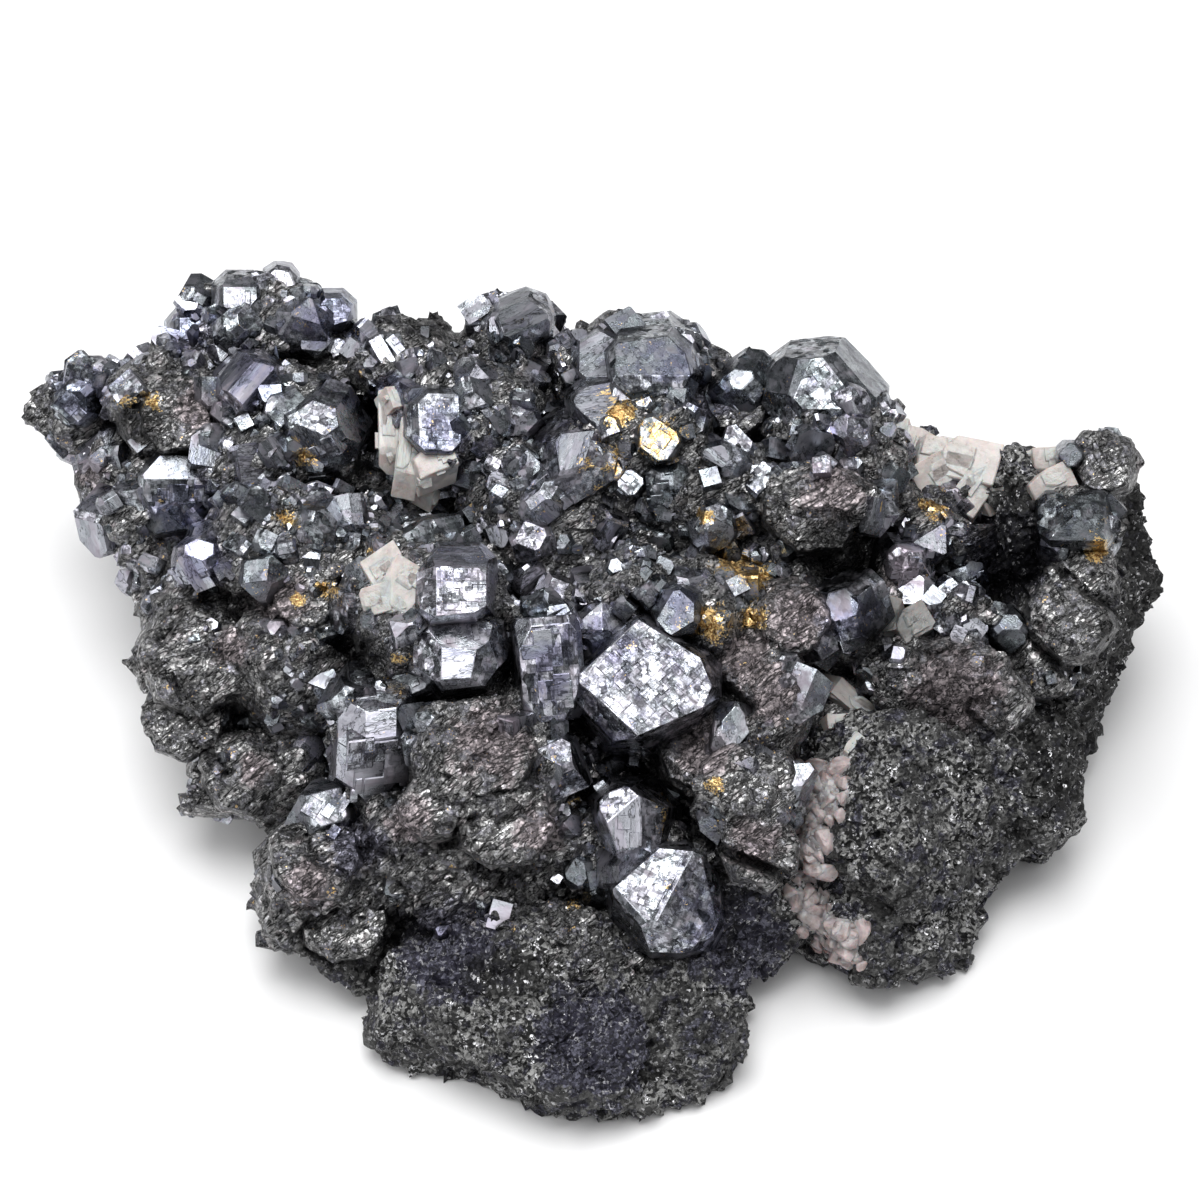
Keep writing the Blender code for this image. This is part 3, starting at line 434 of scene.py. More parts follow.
# The vein: right and up of each bend, and how far to each side it reaches there
VEIN = [
    (27.5, -21.5, 2.2), (29.5, -24.5, 2.1), (26.5, -27.0, 2.2), (26.5, -30.5, 2.2),
    (25.8, -34.0, 2.2), (26.5, -37.5, 2.1), (28.5, -41.0, 2.2), (31.5, -44.5, 2.4),
]

# Small crystals that only the looks have, in the way of the crystal table
SMALL_CRYSTALS = {
    "crown_splinter": (-40.5, 34.5, 1.5, "cubic", 0, 40, 60, 1.5),
    "pale_chip": (-44.5, 22, 1.5, "cubic", 10, 15, 30, 1.0),
    "striped_mate": (-48, 14.5, 1.8, "mixed", 20, 20, 0, 1.0),
    "hexagon_mate": (5.6, 4.2, 1.5, "mixed", 10, 10, 30, 1.0),
    "heart_chip": (-33, -2.5, 1.7, "cubic", 10, 20, 0, 1.0),
    "front_chip": (-5.25, -35, 1.7, "mixed", 0, 20, 10, 1.0),
    "flank_chip": (27.75, 16.5, 1.7, "cubic", -10, 20, 0, 1.0),
    "corner_chip": (54.6, -4.5, 1.7, "mixed", 10, 20, 0, 1.0),
    "notch_chip": (-33, -14.5, 1.8, "mixed", 0, 20, 10, 1.0),
    "saddle_light": (41.6, 0, 1.8, "cubic", 0, 20, 50, 1.1),
    "pocket_chip": (-23.5, 9.5, 1.8, "cubic", 10, 30, 35, 1.0),
    "stain_chip": (17, 1.5, 1.8, "cubic", 10, 20, 30, 1.0),
    "bright_chip": (-44, 10.5, 1.9, "cubic", -10, 30, 50, 1.2),
    "white_face_left": (-18.6, -8.8, 2.1, "octahedral", -6, 14, 25, 1.0),
    "white_face_right": (-14.3, -9.6, 2.0, "octahedral", 8, 16, 60, 1.1),
    "teal_left": (-22.6, -9.8, 2.8, "cubic", -18, 14, 20, 1.1),
    "white_chip": (1.8, -25.4, 1.7, "cubic", 3, 14, 20, 1.2),
    "hollow_grey": (-57.5, 19.5, 1.6, "cubic", 0, 10, 40, 1.0),
    "gap_upper": (-0.9, -14.2, 1.9, "mixed", 0, 16, 20, 1.1),
    "gap_middle": (1.6, -17.4, 2.2, "octahedral", 5, 22, 60, 1.2),
    "gap_right": (4.4, -20.2, 1.8, "mixed", -8, 18, 35, 1.0),
    "gap_left": (-2.6, -20.4, 2.0, "rounded", 8, 24, 10, 1.1),
    "gap_lower": (0.2, -23.6, 1.9, "mixed", -4, 14, 75, 1.0),
}

# Massive ore, rough and without crystals: right, up and the two radii of each patch
MASSIVE = [
    (-14.4, -21.3, 9.5, 10.5),
    (-52, -8.8, 12, 11),
    (-34, -35, 12, 11),
    (-21, -32, 11, 9),
    (-10, -33, 7, 6),
    (27.5, 11.9, 9.5, 4.5),
    (24.4, -1.9, 5.5, 6),
    (44.4, -11.2, 11.5, 7),
    (62.5, 16.5, 5, 5),
    (-43.8, -22, 9, 6),
    (12.5, -18.8, 5, 5.5),
    (19.4, -30.6, 5, 7),
    (18.1, -9.5, 4.5, 5),
    (18, 26, 4, 3.5),
    (-52, 24, 7, 4.5),
    (-65, 22, 4, 3),
    (60, 2.9, 5, 4),
    (58.5, -2.5, 5.5, 4),
]
# Ridges on the lower left lump: their patches, the way they run across the show plane, their spacing and
# depth, their bends with the height, length and start of each, where they crest and how high, and how
# quickly they rise from the rim of a patch
RIDGED = [(-34, -35, 13, 12), (-21, -32, 12, 10)]
RIDGE_WAY = math.radians(38)
RIDGE_SPACING = 1.9
RIDGE_DEPTH = 1.1 * MM
RIDGE_BENDS = [(0.8, 5.1, 0.0), (0.5, 2.3, 1.7)]
RIDGE_CREST = 0.35
RIDGE_LEVEL = 0.3
RIDGE_RIM = 3

# Cracks between the lumps, across the show plane: right and up of each bend
CRACKS = [
    [(-4.8, -5.2), (-1.9, -8.1), (-1.9, -15), (2.5, -19.4), (6.3, -22.5),
     (11.3, -28.1), (16.3, -31.9), (23, -34.5)],
    [(4.4, 0), (7.5, -3.8), (12.5, -6.9), (15, -10.6), (18.8, -13.8)],
]
# Rubble of small broken crystals lies along here: right and up of each bend
RUBBLE = [
    (-27, -37), (-20, -38.6), (-14.5, -36.4), (-10.5, -39.4), (-6, -36.6), (-4, -41), (0, -44.4),
    (4, -46),
]

# Thin cracks in the massive ore, in the same way
THIN_CRACKS = [
    [(-13.4, -17.4), (-12.4, -16.2), (-9.8, -14)],
    [(-9.2, -13), (-8.6, -16), (-8.8, -17.6), (-7.9, -23.8), (-9.4, -27)],
    [(-16.4, -21.4), (-15.6, -19.8), (-14.2, -19.4)],
    [(-20.4, -28.4), (-18, -28.4), (-15.4, -27.2)],
    [(-12.6, -27.8), (-10.8, -26.6), (-8.6, -25.2)],
    [(-19.4, -30.8), (-15.4, -28.6)],
    [(-55, -5.2), (-52.6, -1.6), (-49, 0.4)],
    [(-58, -8), (-54, -9.4), (-51.4, -12.6), (-47.6, -13.4)],
    [(-45.6, -8), (-43.4, -11.4), (-44.6, -15.2)],
    [(-51, -17.8), (-48.6, -19.4), (-46.6, -21.6)],
    [(58.2, 3.4), (61, 0.6), (64, -0.8)],
    [(38, -5), (41.4, -7), (44, -6.2), (48.4, -8)],
    [(47.4, -10.4), (46, -13.6), (48, -16.4)],
    [(22, 12), (25.4, 10.6), (29.4, 11), (33, 9.4)],
    [(-41, -28), (-37, -29.4), (-35.4, -33), (-31, -34.6), (-27.4, -38)],
    [(-30.4, -27), (-28, -31.4), (-23.4, -33)],
]
CRACK_WIDTH = 0.9
CRACK_DEPTH = 3.2
THIN_WIDTH = 0.6
THIN_DEPTH = 0.7
CRACK_STEEPNESS = 1.6
THIN_SHADE = 0.5

# Tarnish, which is only colour: right, up and radius of each spot
GOLD_SPOTS = [
    (-59.4, 25.6, 2.2), (-56, 24.8, 1.8), (-37.3, 18.1, 2.2), (-38.8, 10.3, 2.0), (-27.8, 5.6, 2.4),
    (-34.4, 1.5, 2.0), (-37.8, 0, 1.7), (-43.1, 3.8, 1.8), (-25, -7.5, 1.6), (2.5, 23.5, 3.6),
    (0.3, 16.9, 3.6), (7.3, 20.3, 4.2), (16.3, 4.6, 3.4), (19.6, 3.1, 2.8), (14, -2.8, 3.4),
    (19.4, -2.3, 2.6), (41.9, 11.9, 2.8), (62.1, 6.5, 2.8), (-3.1, -25, 1.2), (7.9, -25, 2.0),
    (14.4, -23.1, 2.0), (13.1, 10, 1.8), (-3.4, -37.9, 1.4),
]
BROWN_SPOTS = [
    (-50, 24, 4.5), (-40, 0, 5), (-13.8, -17.5, 6.5), (-63.8, 16.3, 3), (12.5, -18.1, 5.5),
    (22.5, -11.3, 6), (18.1, -7.5, 5), (24.4, -1.9, 6), (28.8, 13.8, 5.5), (38.1, 3.8, 4),
    (19.4, -30.6, 4.5), (44.4, -11.3, 8.5), (-36.3, -35.6, 4.5), (-23.8, -27.5, 4), (-7.5, -28.8, 4),
    (-43.1, -21.3, 3), (-46, -6, 3.4), (48, 13, 4),
]
# Painted shade: hollows and walls whose colour is darkened, as if hardly any light came back from them:
# right, up and radii
SHADED_SPOTS = [
    (51.5, 7.5, 6, 10), (66, -14, 7, 22), (70, 6, 6, 16), (30, 5, 7, 6.5), (-57.5, 22.2, 4.5, 3.5),
    (-20.5, 34.5, 5, 2.5), (-12, -47, 7, 4), (35, -3, 4, 4), (-30, -7, 4, 4), (57, -20, 6, 10),
]
# How steeply the painted shade of these spots deepens inwards from their rim
SHADED_RIM = 2.2
VIOLET_SPOTS = [
    (-51.3, 33.8, 4), (-64.8, 25.3, 4.5), (-43.8, 27.5, 5), (-33.4, 36.1, 4.5), (-26.5, 26.3, 3),
    (-49.4, 5, 4), (-30.3, -31, 5), (-6.9, -8.8, 5), (-0.3, -4, 5), (1, -16.5, 3), (9.8, 29.3, 3.5),
    (14, 24.8, 3.5), (-3.4, 19, 3), (30.6, -1.9, 4.5), (9.6, -0.6, 3.5), (-18.8, -43.8, 8),
    (-1.3, -55.6, 9), (17.5, -42.5, 8), (51, 6, 7), (-20, 20, 5), (-52, 12, 6),
]

# Fineness of the two grown surfaces and of the blocks, and the edges that stay sharp
ORE_SKIN = 0.68 * MM
ROCK_SKIN = 0.66 * MM
BLOCK_FACES = 0.8 * MM
REFINE_ROUNDS = 7
ORE_SHARP = 32
BLOCK_SHARP = 28
# How each surface breaks into chips, in rounds: their size in mm, their slope, how far they are set up
# or down in mm, and the seed
BREAKS = {
    "massive_ore": [(6.0, 0.16, 0.5, 11), (2.6, 0.22, 0.3, 23)],
    "ore_blocks": [(4.0, 0.10, 0.3, 51), (1.8, 0.12, 0.15, 53)],
    "granular_rock": [(7.0, 0.17, 0.9, 37), (2.8, 0.30, 0.7, 41), (1.2, 0.30, 0.35, 43)],
}

# Crystals of the table: the smallest are shown at a share of their size, and the large ones have growth
# steps, so many for each mm of their half size
LEAST_HALF = 2.35
SMALL_SHARE = 0.62
STEPPED_HALF = 2.5
STEPS_PER_MM = 2.5
STEP_SHARE = (0.10, 0.34)
STEP_PLACE = 0.85
STEP_RISE = (0.012, 0.035)
STEP_STRETCH = (0.6, 1.5)
SOFT_CRYSTAL = 0.02
SOFT_SPREAD = (0.6, 1.5)
OVER_EDGE = 5
PATTERN_SPREAD = 50

# Cut crystals: the block that each is cut from, as shares of its reach and its front, the faces that
# close it behind, and the growth plates on the leading face
BODY_WIDE = 1.5
BODY_DEEP = 1.6
BODY_MIDDLE = 0.6
CLOSING_TURN = 45
CLOSING_GAP = 0.2
CLOSING_DROP = 5.0
PLATE_TRIES = 6
PLATE_PLACE = 0.8
PLATE_SIDES = (0.35, 1.5)
PLATE_LARGEST = 0.4
PLATE_THICKNESS = (0.3, 0.5)
PLATE_RISE = (0.06, 0.16)
PLATE_INSET = 0.3
SOFT_CUT = 0.07
# Looks of the leading face, from 0 for smooth to 1 for stepped: bare, or with plates and then more for
# each plate, up to the most that count
BARE_LOOK = 0.15
PLATED_LOOK = 0.35
LOOK_PER_PLATE = 0.05
MOST_PLATES = 9
SAME_WAY = 0.999

# Scattered crystals: for each piece the places tried, the seed, and the least and largest size in mm
SCATTERED = {
    "small_crystals": (4600, 5, (0.4, 1.5)),
    "middle_crystals": (1200, 6, (1.3, 2.7)),
}
SCATTERED_FORMS = "mixed rounded octahedral mixed rounded cubic octahedral rounded mixed".split()
SCATTERED_HALF = 3
SCATTERED_SPREAD = 0.16
SCATTERED_STRETCH = (0.85, 1.3)
SCATTERED_SUNK = (0.4, 0.9)
# They keep clear of this share of the reach of each crystal of the tables, and mostly of massive ore
CRYSTALS_CLEAR = 0.9
BARE_RIM = 6
BARE_MOST = 0.94
# On the brim, which turns away from the eye, they are smaller by this share
BRIM_FACING = (-0.2, 0.35)
BRIM_SHARE = 0.6
# All that is scattered keeps this far inside the box of the solids
BOX_MARGIN = 1.8 * MM

# Broken chips, the rubble among them, and the grains of the rock: sizes in mm. A shape is given by its
# corners and its flatness. The grains have at least the first size, and up to the second more
SHAPES_EACH = 8
CHIP_SPOTS = 900
CHIP_SEED = 7
CHIP_SIZES = (0.8, 3.0)
CHIP_SHAPE = (11, 0.7)
CHIP_LENGTH = 1.1
RIDGED_LENGTH = 1.6
CHIP_FLATNESS = 0.7
CHIP_SUNK = 0.42
CHIP_WAY_SPREAD = 0.25
CHIP_TILT = 0.35
CHIPS_CLEAR = 0.85
CHIP_RIM = 3
CHIP_LEAST = 0.35
RIDGED_RIM = 0.05
RUBBLE_CHIPS = 420
RUBBLE_SPREAD = 1.5
RUBBLE_SHARE = 0.6
GRAIN_SPOTS = 6000
GRAIN_SEED = 9
GRAIN_SIZES = (0.35, 1.2)
GRAIN_SHAPE = (9, 0.85)
GRAIN_SUNK = 0.5
GRAIN_CLEAR = 0.8 * MM

# Calcite: cuts, steps and splinters of a rhomb, and the grains of the vein
RHOMB_CUTS = 3
RHOMB_CUT_REACH = (0.95, 1.3)
RHOMB_STEPS = 2
RHOMB_SPLINTERS = 3
STEP_SIZES = (0.3, 0.6)
STEP_PROUD = 0.12
SPLINTER_SIZES = (0.22, 0.42)
SPLINTER_REACH = 1.1
SPLINTER_RISE = 0.7
SPLINTER_TURN = 1.2
SOFT_RHOMB = 0.05
VEIN_GRAINS = 260
VEIN_SPREAD = 0.95
VEIN_SIZES = (0.9, 2.3)
VEIN_SHAPE = (12, 0.85)
VEIN_SUNK = 0.22
SOFT_VEIN = 0.12
FULL_TURN = 6.28
CALCITE_REACH = 1.2

# Blocks of space in which the nearby solid is counted, to tell open faces from gaps, which get painted
# shade
BLOCK = 0.8 * MM
BLOCK_EDGE = 14
SPACE = (148 * MM, 106 * MM, 54 * MM)
BLOCK_BLURS = (2, 6)
BLOCK_LIFTS = (1.2 * MM, 3.5 * MM)
BLOCK_LIMITS = ((0.30, 0.24), (0.85, 0.85))

# Soft lights: place, size and power
SOFT_LIGHTS = [
    ("overhead softbox", (0.0, -0.05, 1.1), (1.9, 1.9), 10.5),
    ("key softbox", (-0.08, 0.0, 1.0), (0.60, 0.60), 7.5),
    ("left softbox", (-0.75, -0.05, 0.60), (0.45, 0.45), 1.2),
]
ROOM_LIGHT = (0.20, 0.20, 0.205, 1)
FLOOR_HALF = 2.0
FLOOR_COLOURS = ((0.88, 0.88, 0.885, 1), (0.90, 0.90, 0.90, 1))

# Colours, as light that the surface gives back
DARK_METAL = (0.20, 0.20, 0.212, 1)
BRIGHT_METAL = (0.75, 0.75, 0.77, 1)
TEAL_TINT = (0.88, 1.0, 1.0, 1)
LILAC_TINT = (0.94, 0.90, 1.0, 1)
MASSIVE_DARK = (0.19, 0.19, 0.189, 1)
MASSIVE_LIGHT = (0.56, 0.56, 0.557, 1)
MASSIVE_GLINT = (0.80, 0.80, 0.82, 1)
VIOLET_TINT = (0.70, 0.69, 0.88, 1)
NO_TINT = (1, 1, 1, 1)
BROWN_STAIN = (0.84, 0.69, 0.73, 1)
GOLD_DARK = (0.26, 0.13, 0.045, 1)
GOLD_LIGHT = (0.80, 0.58, 0.26, 1)
ROCK_DARK = (0.008, 0.008, 0.008, 1)
ROCK_CALM = (0.042, 0.042, 0.042, 1)
ROCK_BLUE = (0.020, 0.019, 0.034, 1)
ROCK_GRAIN = (0.34, 0.34, 0.333, 1)
ROCK_BLUE_GRAIN = (0.13, 0.13, 0.172, 1)
ROCK_GLINT = (0.70, 0.70, 0.72, 1)
SPAR_WHITE = (0.73, 0.67, 0.64, 1)
SPAR_GREY = (0.50, 0.44, 0.415, 1)
SPAR_SHADE = (0.17, 0.16, 0.155, 1)
SPAR_DULL = (0.34, 0.33, 0.32, 1)
SPAR_PINK = (0.62, 0.535, 0.535, 1)
SPAR_BROWN = (0.26, 0.205, 0.20, 1)
# Painted shade: how light the colour of the darkest gaps stays, for each material
GAP_SHADE_CRYSTALS = 0.16
GAP_SHADE_MASSIVE = 0.30
GAP_SHADE_ROCK = 0.2
GAP_SHADE_CALCITE = 0.45
# The grain of the massive ore: its turn, and how it is drawn out
GRAIN_TURN = (0.0, math.radians(27), math.radians(-28))
GRAIN_DRAWN = (0.2, 1.0, 1.0)


def sight_point(right, up, height):
    """The point at this height (mm) on the line from the eye through a place on the show plane."""
    through = SHOW_CENTRE + (right * TO_RIGHT + up * TO_TOP) * MM
    share = (height * MM - EYE.z) / (through.z - EYE.z)
    return EYE + share * (through - EYE)


def sight_turn(turned_right, turned_up, spin):
    """Turns a shape so that its +Z leads towards the eye, turned away from it by these degrees."""
    across, rise = math.radians(turned_right), math.radians(turned_up)
    lead = (
        math.sin(across) * math.cos(rise) * TO_RIGHT
        + math.sin(rise) * TO_TOP
        + math.cos(across) * math.cos(rise) * TO_EYE
    )
    side = (TO_RIGHT - TO_RIGHT.dot(lead) * lead).normalized()
    turn = Matrix((side, lead.cross(side), lead)).transposed().to_4x4()
    return turn @ Matrix.Rotation(math.radians(spin), 4, "Z")


def surface_point(surface, right, up):
    """Where the line of sight through a place on the show plane meets a surface, and its direction.

    Over the top edge of the specimen it is level with the nearest surface below the place.
    """
    for lowered in range(OVER_EDGE):
        through = SHOW_CENTRE + (right * TO_RIGHT + (up - lowered) * TO_TOP) * MM
        sight = (through - EYE).normalized()
        met = surface.ray_cast(EYE, sight)[0]
        if met is not None:
            return met + lowered * MM * TO_TOP, sight
    raise ValueError(f"nothing to grow on at {right}, {up}")


def show_places(points):
    """Where points appear on the show plane: right and up in millimetres."""
    ray = points - np.array(EYE)
    reach = EYE_DISTANCE / -(ray @ np.array(TO_EYE))
    seen = ray * reach[:, None] + np.array(EYE - SHOW_CENTRE)
    return np.stack([seen @ np.array(TO_RIGHT), seen @ np.array(TO_TOP)], 1) / MM


def inside(places, patches):
    """How deep each place is in the nearest of some round patches: 1 at its middle, 0 at its rim."""
    share = np.zeros(len(places))
    for right, up, *radii in patches:
        offset = (places - (right, up)) / (radii[0], radii[-1])
        share = np.maximum(share, 1 - np.linalg.norm(offset, axis=1))
    return share


def crack_share(places, cracks, width):
    """How near each place on the show plane is to a crack: 1 on it, 0 from its width on."""
    share = np.zeros(len(places))
    for bends in cracks:
        for start, end in itertools.pairwise(np.array(bends)):
            way = end - start
            along = np.clip(((places - start) @ way) / (way @ way), 0, 1)
            away = np.linalg.norm(places - start - along[:, None] * way, axis=1)
            share = np.maximum(share, 1 - away / width)
    return share


def along_path(bends, count):
    """Places spread evenly over the stretches of a path on the show plane."""
    path = [Vector(bend[:2]) for bend in bends]
    for number in range(count):
        stretch = number / count * (len(path) - 1)
        start = int(stretch)
        yield path[start].lerp(path[start + 1], stretch - start)


def chance(address, salt):
    """An even number from 0 to 1 for each whole address, the same on every run."""
    value = np.sin(address @ np.array((127.1, 311.7, 74.7)) + salt * 17.31) * 43758.5453
    return value - np.floor(value)


def cells(points, size, salt):
    """The middle and the address of the scattered cell of that size which each point is in."""
    address = np.floor(points / size)
    nearest = np.full(len(points), np.inf)
    middle, owner = np.zeros_like(points), np.zeros_like(points)
    for step in itertools.product((-1, 0, 1), repeat=3):
        cell = address + step
        spot = (cell + np.stack([chance(cell, salt + axis) for axis in range(3)], 1)) * size
        away = np.linalg.norm(points - spot, axis=1)
        nearer = away < nearest
        nearest[nearer], middle[nearer], owner[nearer] = away[nearer], spot[nearer], cell[nearer]
    return middle, owner


def cut_away(bm, way, distance):
    """Cuts a convex shape by a plane and closes the cut."""
    everything = bm.verts[:] + bm.edges[:] + bm.faces[:]
    cut = bmesh.ops.bisect_plane(
        bm, geom=everything, plane_co=way * distance, plane_no=way, clear_outer=True
    )
    rim = [part for part in cut["geom_cut"] if isinstance(part, bmesh.types.BMEdge)]
    if rim:
        bmesh.ops.edgeloop_fill(bm, edges=rim)


def cube(place=Matrix.Identity(4)):
    """A cube of half size 1, set in its place."""
    bm = bmesh.new()
    bmesh.ops.create_cube(bm, size=2.0)
    bmesh.ops.transform(bm, verts=bm.verts, matrix=place)
    return bm


def broken_lump(radii, seed, corners):
    """A broken lump with flat facets: the hull of points scattered evenly over an ellipsoid."""
    draw = random.Random(seed)
    bm = bmesh.new()
    bmesh.ops.create_icosphere(bm, subdivisions=2, radius=1.0)
    points = [vert.co.copy() for vert in draw.sample(bm.verts[:], corners)]
    bm.clear()
    for point in points:
        aside = Vector([draw.gauss(0, CORNER_SCATTER) for _ in range(3)])
        outward = (point + aside).normalized() * draw.uniform(*CORNER_REACH)
        bm.verts.new([part * radius for part, radius in zip(outward, radii)])
    hull = bmesh.ops.convex_hull(bm, input=bm.verts)
    buried = [part for part in hull["geom_interior"] if isinstance(part, bmesh.types.BMVert)]
    bmesh.ops.delete(bm, geom=buried, context="VERTS")
    bmesh.ops.recalc_face_normals(bm, faces=bm.faces)
    return bm


def chip(seed, corners, flatness):
    """A small broken chip."""
    return broken_lump((1.0, 0.75, flatness), seed, corners)


def lump(name, row):
    """A lump of the tables, cut off where the specimen rests."""
    right, up, height, *radii = row
    corners = LARGE_CORNERS if max(radii) > LARGE_LUMP else SMALL_CORNERS
    bm = broken_lump([radius * MM for radius in radii], name, corners)
    bmesh.ops.translate(bm, verts=bm.verts, vec=sight_point(right, up, height))
    cut_away(bm, Vector((0, 0, -1)), 0.0)
    return bm


def bed(top, bottom=None, wider=0.0):
    """The heart of the specimen, between sloping seams this high (mm) under the show centre."""
    half_right, half_deep = [(half + wider) * MM for half in BED_HALF_SIZE]
    bm = bmesh.new()
    bmesh.ops.create_cone(
        bm, cap_ends=True, segments=BED_SIDES, radius1=1.0, radius2=BED_TAPER, depth=2.0
    )
    spread = Matrix.Diagonal((half_right, half_deep, BED_HALF_HEIGHT * MM, 1))
    bmesh.ops.transform(bm, verts=bm.verts, matrix=Matrix.Translation(BED_CENTRE * MM) @ spread)
    slope = math.radians(SEAM_SLOPE)
    upright = Vector((0, -math.sin(slope), math.cos(slope)))
    for height, way in ((top, upright), (bottom, -upright)):
        if height is not None:
            seam_point = Vector((SHOW_CENTRE.x, SHOW_CENTRE.y, height * MM))
            cut_away(bm, way, way.dot(seam_point))
    cut_away(bm, Vector((0, 0, -1)), 0.0)
    return bm


def together(name, shapes):
    """One mesh of several shapes."""
    mesh = bpy.data.meshes.new(name)
    whole = bmesh.new()
    for shape in shapes:
        shape.to_mesh(mesh)
        whole.from_mesh(mesh)
        shape.free()
    whole.to_mesh(mesh)
    whole.free()
    return mesh


def surface_of(shapes):
    """One surface of several shapes, to measure on."""
    bm = bmesh.new()
    bm.from_mesh(together("measured", [shape.copy() for shape in shapes]))
    surface = BVHTree.FromBMesh(bm)
    bm.free()
    return surface


def skin(mesh, fineness):
    """One even skin round overlapping shapes."""
    shape = bpy.data.objects.new(mesh.name, mesh)
    bpy.context.scene.collection.objects.link(shape)
    wrap = shape.modifiers.new("skin", "REMESH")
    wrap.mode = "VOXEL"
    wrap.voxel_size = fineness
    evaluated = shape.evaluated_get(bpy.context.evaluated_depsgraph_get())
    wrapped = bpy.data.meshes.new_from_object(evaluated)
    bpy.data.objects.remove(shape)
    return wrapped


def refined(mesh, longest):
    """Splits the faces of a mesh until no edge is longer than this."""
    bm = bmesh.new()
    bm.from_mesh(mesh)
    for _ in range(REFINE_ROUNDS):
        long_edges = [edge for edge in bm.edges if edge.calc_length() > longest]
        if not long_edges:
            break
        bmesh.ops.subdivide_edges(bm, edges=long_edges, cuts=1)
        bmesh.ops.triangulate(bm, faces=bm.faces)
    bm.to_mesh(mesh)
    bm.free()
    return mesh


def crisp(mesh, angle):
    """Smooth shading, but for the edges that turn by more than this."""
    mesh.shade_smooth()
    mesh.set_sharp_from_angle(angle=math.radians(angle))
    return mesh


def vectors_of(values, field, count):
    """Vectors of a mesh's points, one row each."""
    vectors = np.empty(count * 3, np.float32)
    values.foreach_get(field, vectors)
    return vectors.reshape(-1, 3).astype(float)


def points_of(mesh):
    return vectors_of(mesh.vertices, "co", len(mesh.vertices))


def normals_of(mesh):
    return vectors_of(mesh.vertex_normals, "vector", len(mesh.vertices))


def triangles_of(mesh):
    mesh.calc_loop_triangles()
    triangles = np.empty(len(mesh.loop_triangles) * 3, np.int32)
    mesh.loop_triangles.foreach_get("vertices", triangles)
    return triangles.reshape(-1, 3)


def move_points(mesh, points):
    """Moves a mesh's points, but leaves none below what the specimen rests on."""
    points[:, 2] = np.maximum(points[:, 2], 0.0)
    mesh.vertices.foreach_set("co", points.astype(np.float32).ravel())
    mesh.update()


def hackle(mesh, size, slope, step, salt):
    """Breaks a surface into flat chips of this size, each tilted its own way and set up or down."""
    points, normals = points_of(mesh), normals_of(mesh)
    middle, owner = cells(points, size, salt)
    lean = np.stack([chance(owner, salt + 5 + axis) for axis in range(3)], 1) * 2 - 1
    height = ((points - middle) * lean).sum(1) * slope + (chance(owner, salt + 9) - 0.5) * step
    move_points(mesh, points + normals * height[:, None])


def broken(mesh, name):
    """Breaks a surface in the rounds that its row gives."""
    for size, slope, step, salt in BREAKS[name]:
        hackle(mesh, size * MM, slope, step * MM, salt)
    return mesh


def ridges(mesh):
    """Broken ridges along one way across the ridged patches."""
    points, normals = points_of(mesh), normals_of(mesh)
    places = show_places(points)
    across = places @ np.array((-math.sin(RIDGE_WAY), math.cos(RIDGE_WAY)))
    along = places @ np.array((math.cos(RIDGE_WAY), math.sin(RIDGE_WAY)))
    bend = sum(height * np.sin(along / length + start) for height, length, start in RIDGE_BENDS)
    saw = (across + bend) / RIDGE_SPACING
    height = np.abs(saw - np.floor(saw) - RIDGE_CREST) - RIDGE_LEVEL
    share = np.clip(inside(places, RIDGED) * RIDGE_RIM, 0, 1)
    move_points(mesh, points + normals * (height * share * RIDGE_DEPTH)[:, None])


def crack_depth(places, cracks, width):
    """The share of its depth that a crack has at each place, over its steep flanks."""
    return np.clip(crack_share(places, cracks, width) * CRACK_STEEPNESS, 0, 1)


def crack_open(mesh):
    """Opens the cracks between the lumps, straight down from where they are seen."""
    points = points_of(mesh)
    places = show_places(points)
    wide = crack_depth(places, CRACKS, CRACK_WIDTH) * CRACK_DEPTH * MM
    thin = crack_depth(places, THIN_CRACKS, THIN_WIDTH) * THIN_DEPTH * MM
    seen = normals_of(mesh) @ np.array(TO_EYE) > 0
    move_points(mesh, points - np.array(TO_EYE) * (np.maximum(wide, thin) * seen)[:, None])


def massive_ore(shapes):
    """The ore that the crystals grew on: one skin, broken into chips, with ridges at the lower left."""
    mesh = broken(skin(together("massive_ore", shapes), ORE_SKIN), "massive_ore")
    ridges(mesh)
    crack_open(mesh)
    return crisp(mesh, ORE_SHARP)


def ore_blocks(shapes):
    """Blocks of massive ore: broad broken faces with small chips and cracks."""
    mesh = broken(refined(together("ore_blocks", shapes), BLOCK_FACES), "ore_blocks")
    crack_open(mesh)
    return crisp(mesh, BLOCK_SHARP)


def rock_mass(shapes):
    """The granular rock: one skin, broken into coarse and fine chips."""
    return broken(skin(together("granular_rock", shapes), ROCK_SKIN), "granular_rock")


def mark(mesh, name, kind, values):
    """Stores one number or vector for each point or face."""
    domain = "POINT" if len(values) == len(mesh.vertices) else "FACE"
    layer = mesh.attributes.new(name, kind, domain)
    field = {"FLOAT": "value", "FLOAT_VECTOR": "vector", "FLOAT_COLOR": "color"}[kind]
    layer.data.foreach_set(field, np.asarray(values, np.float32).ravel())


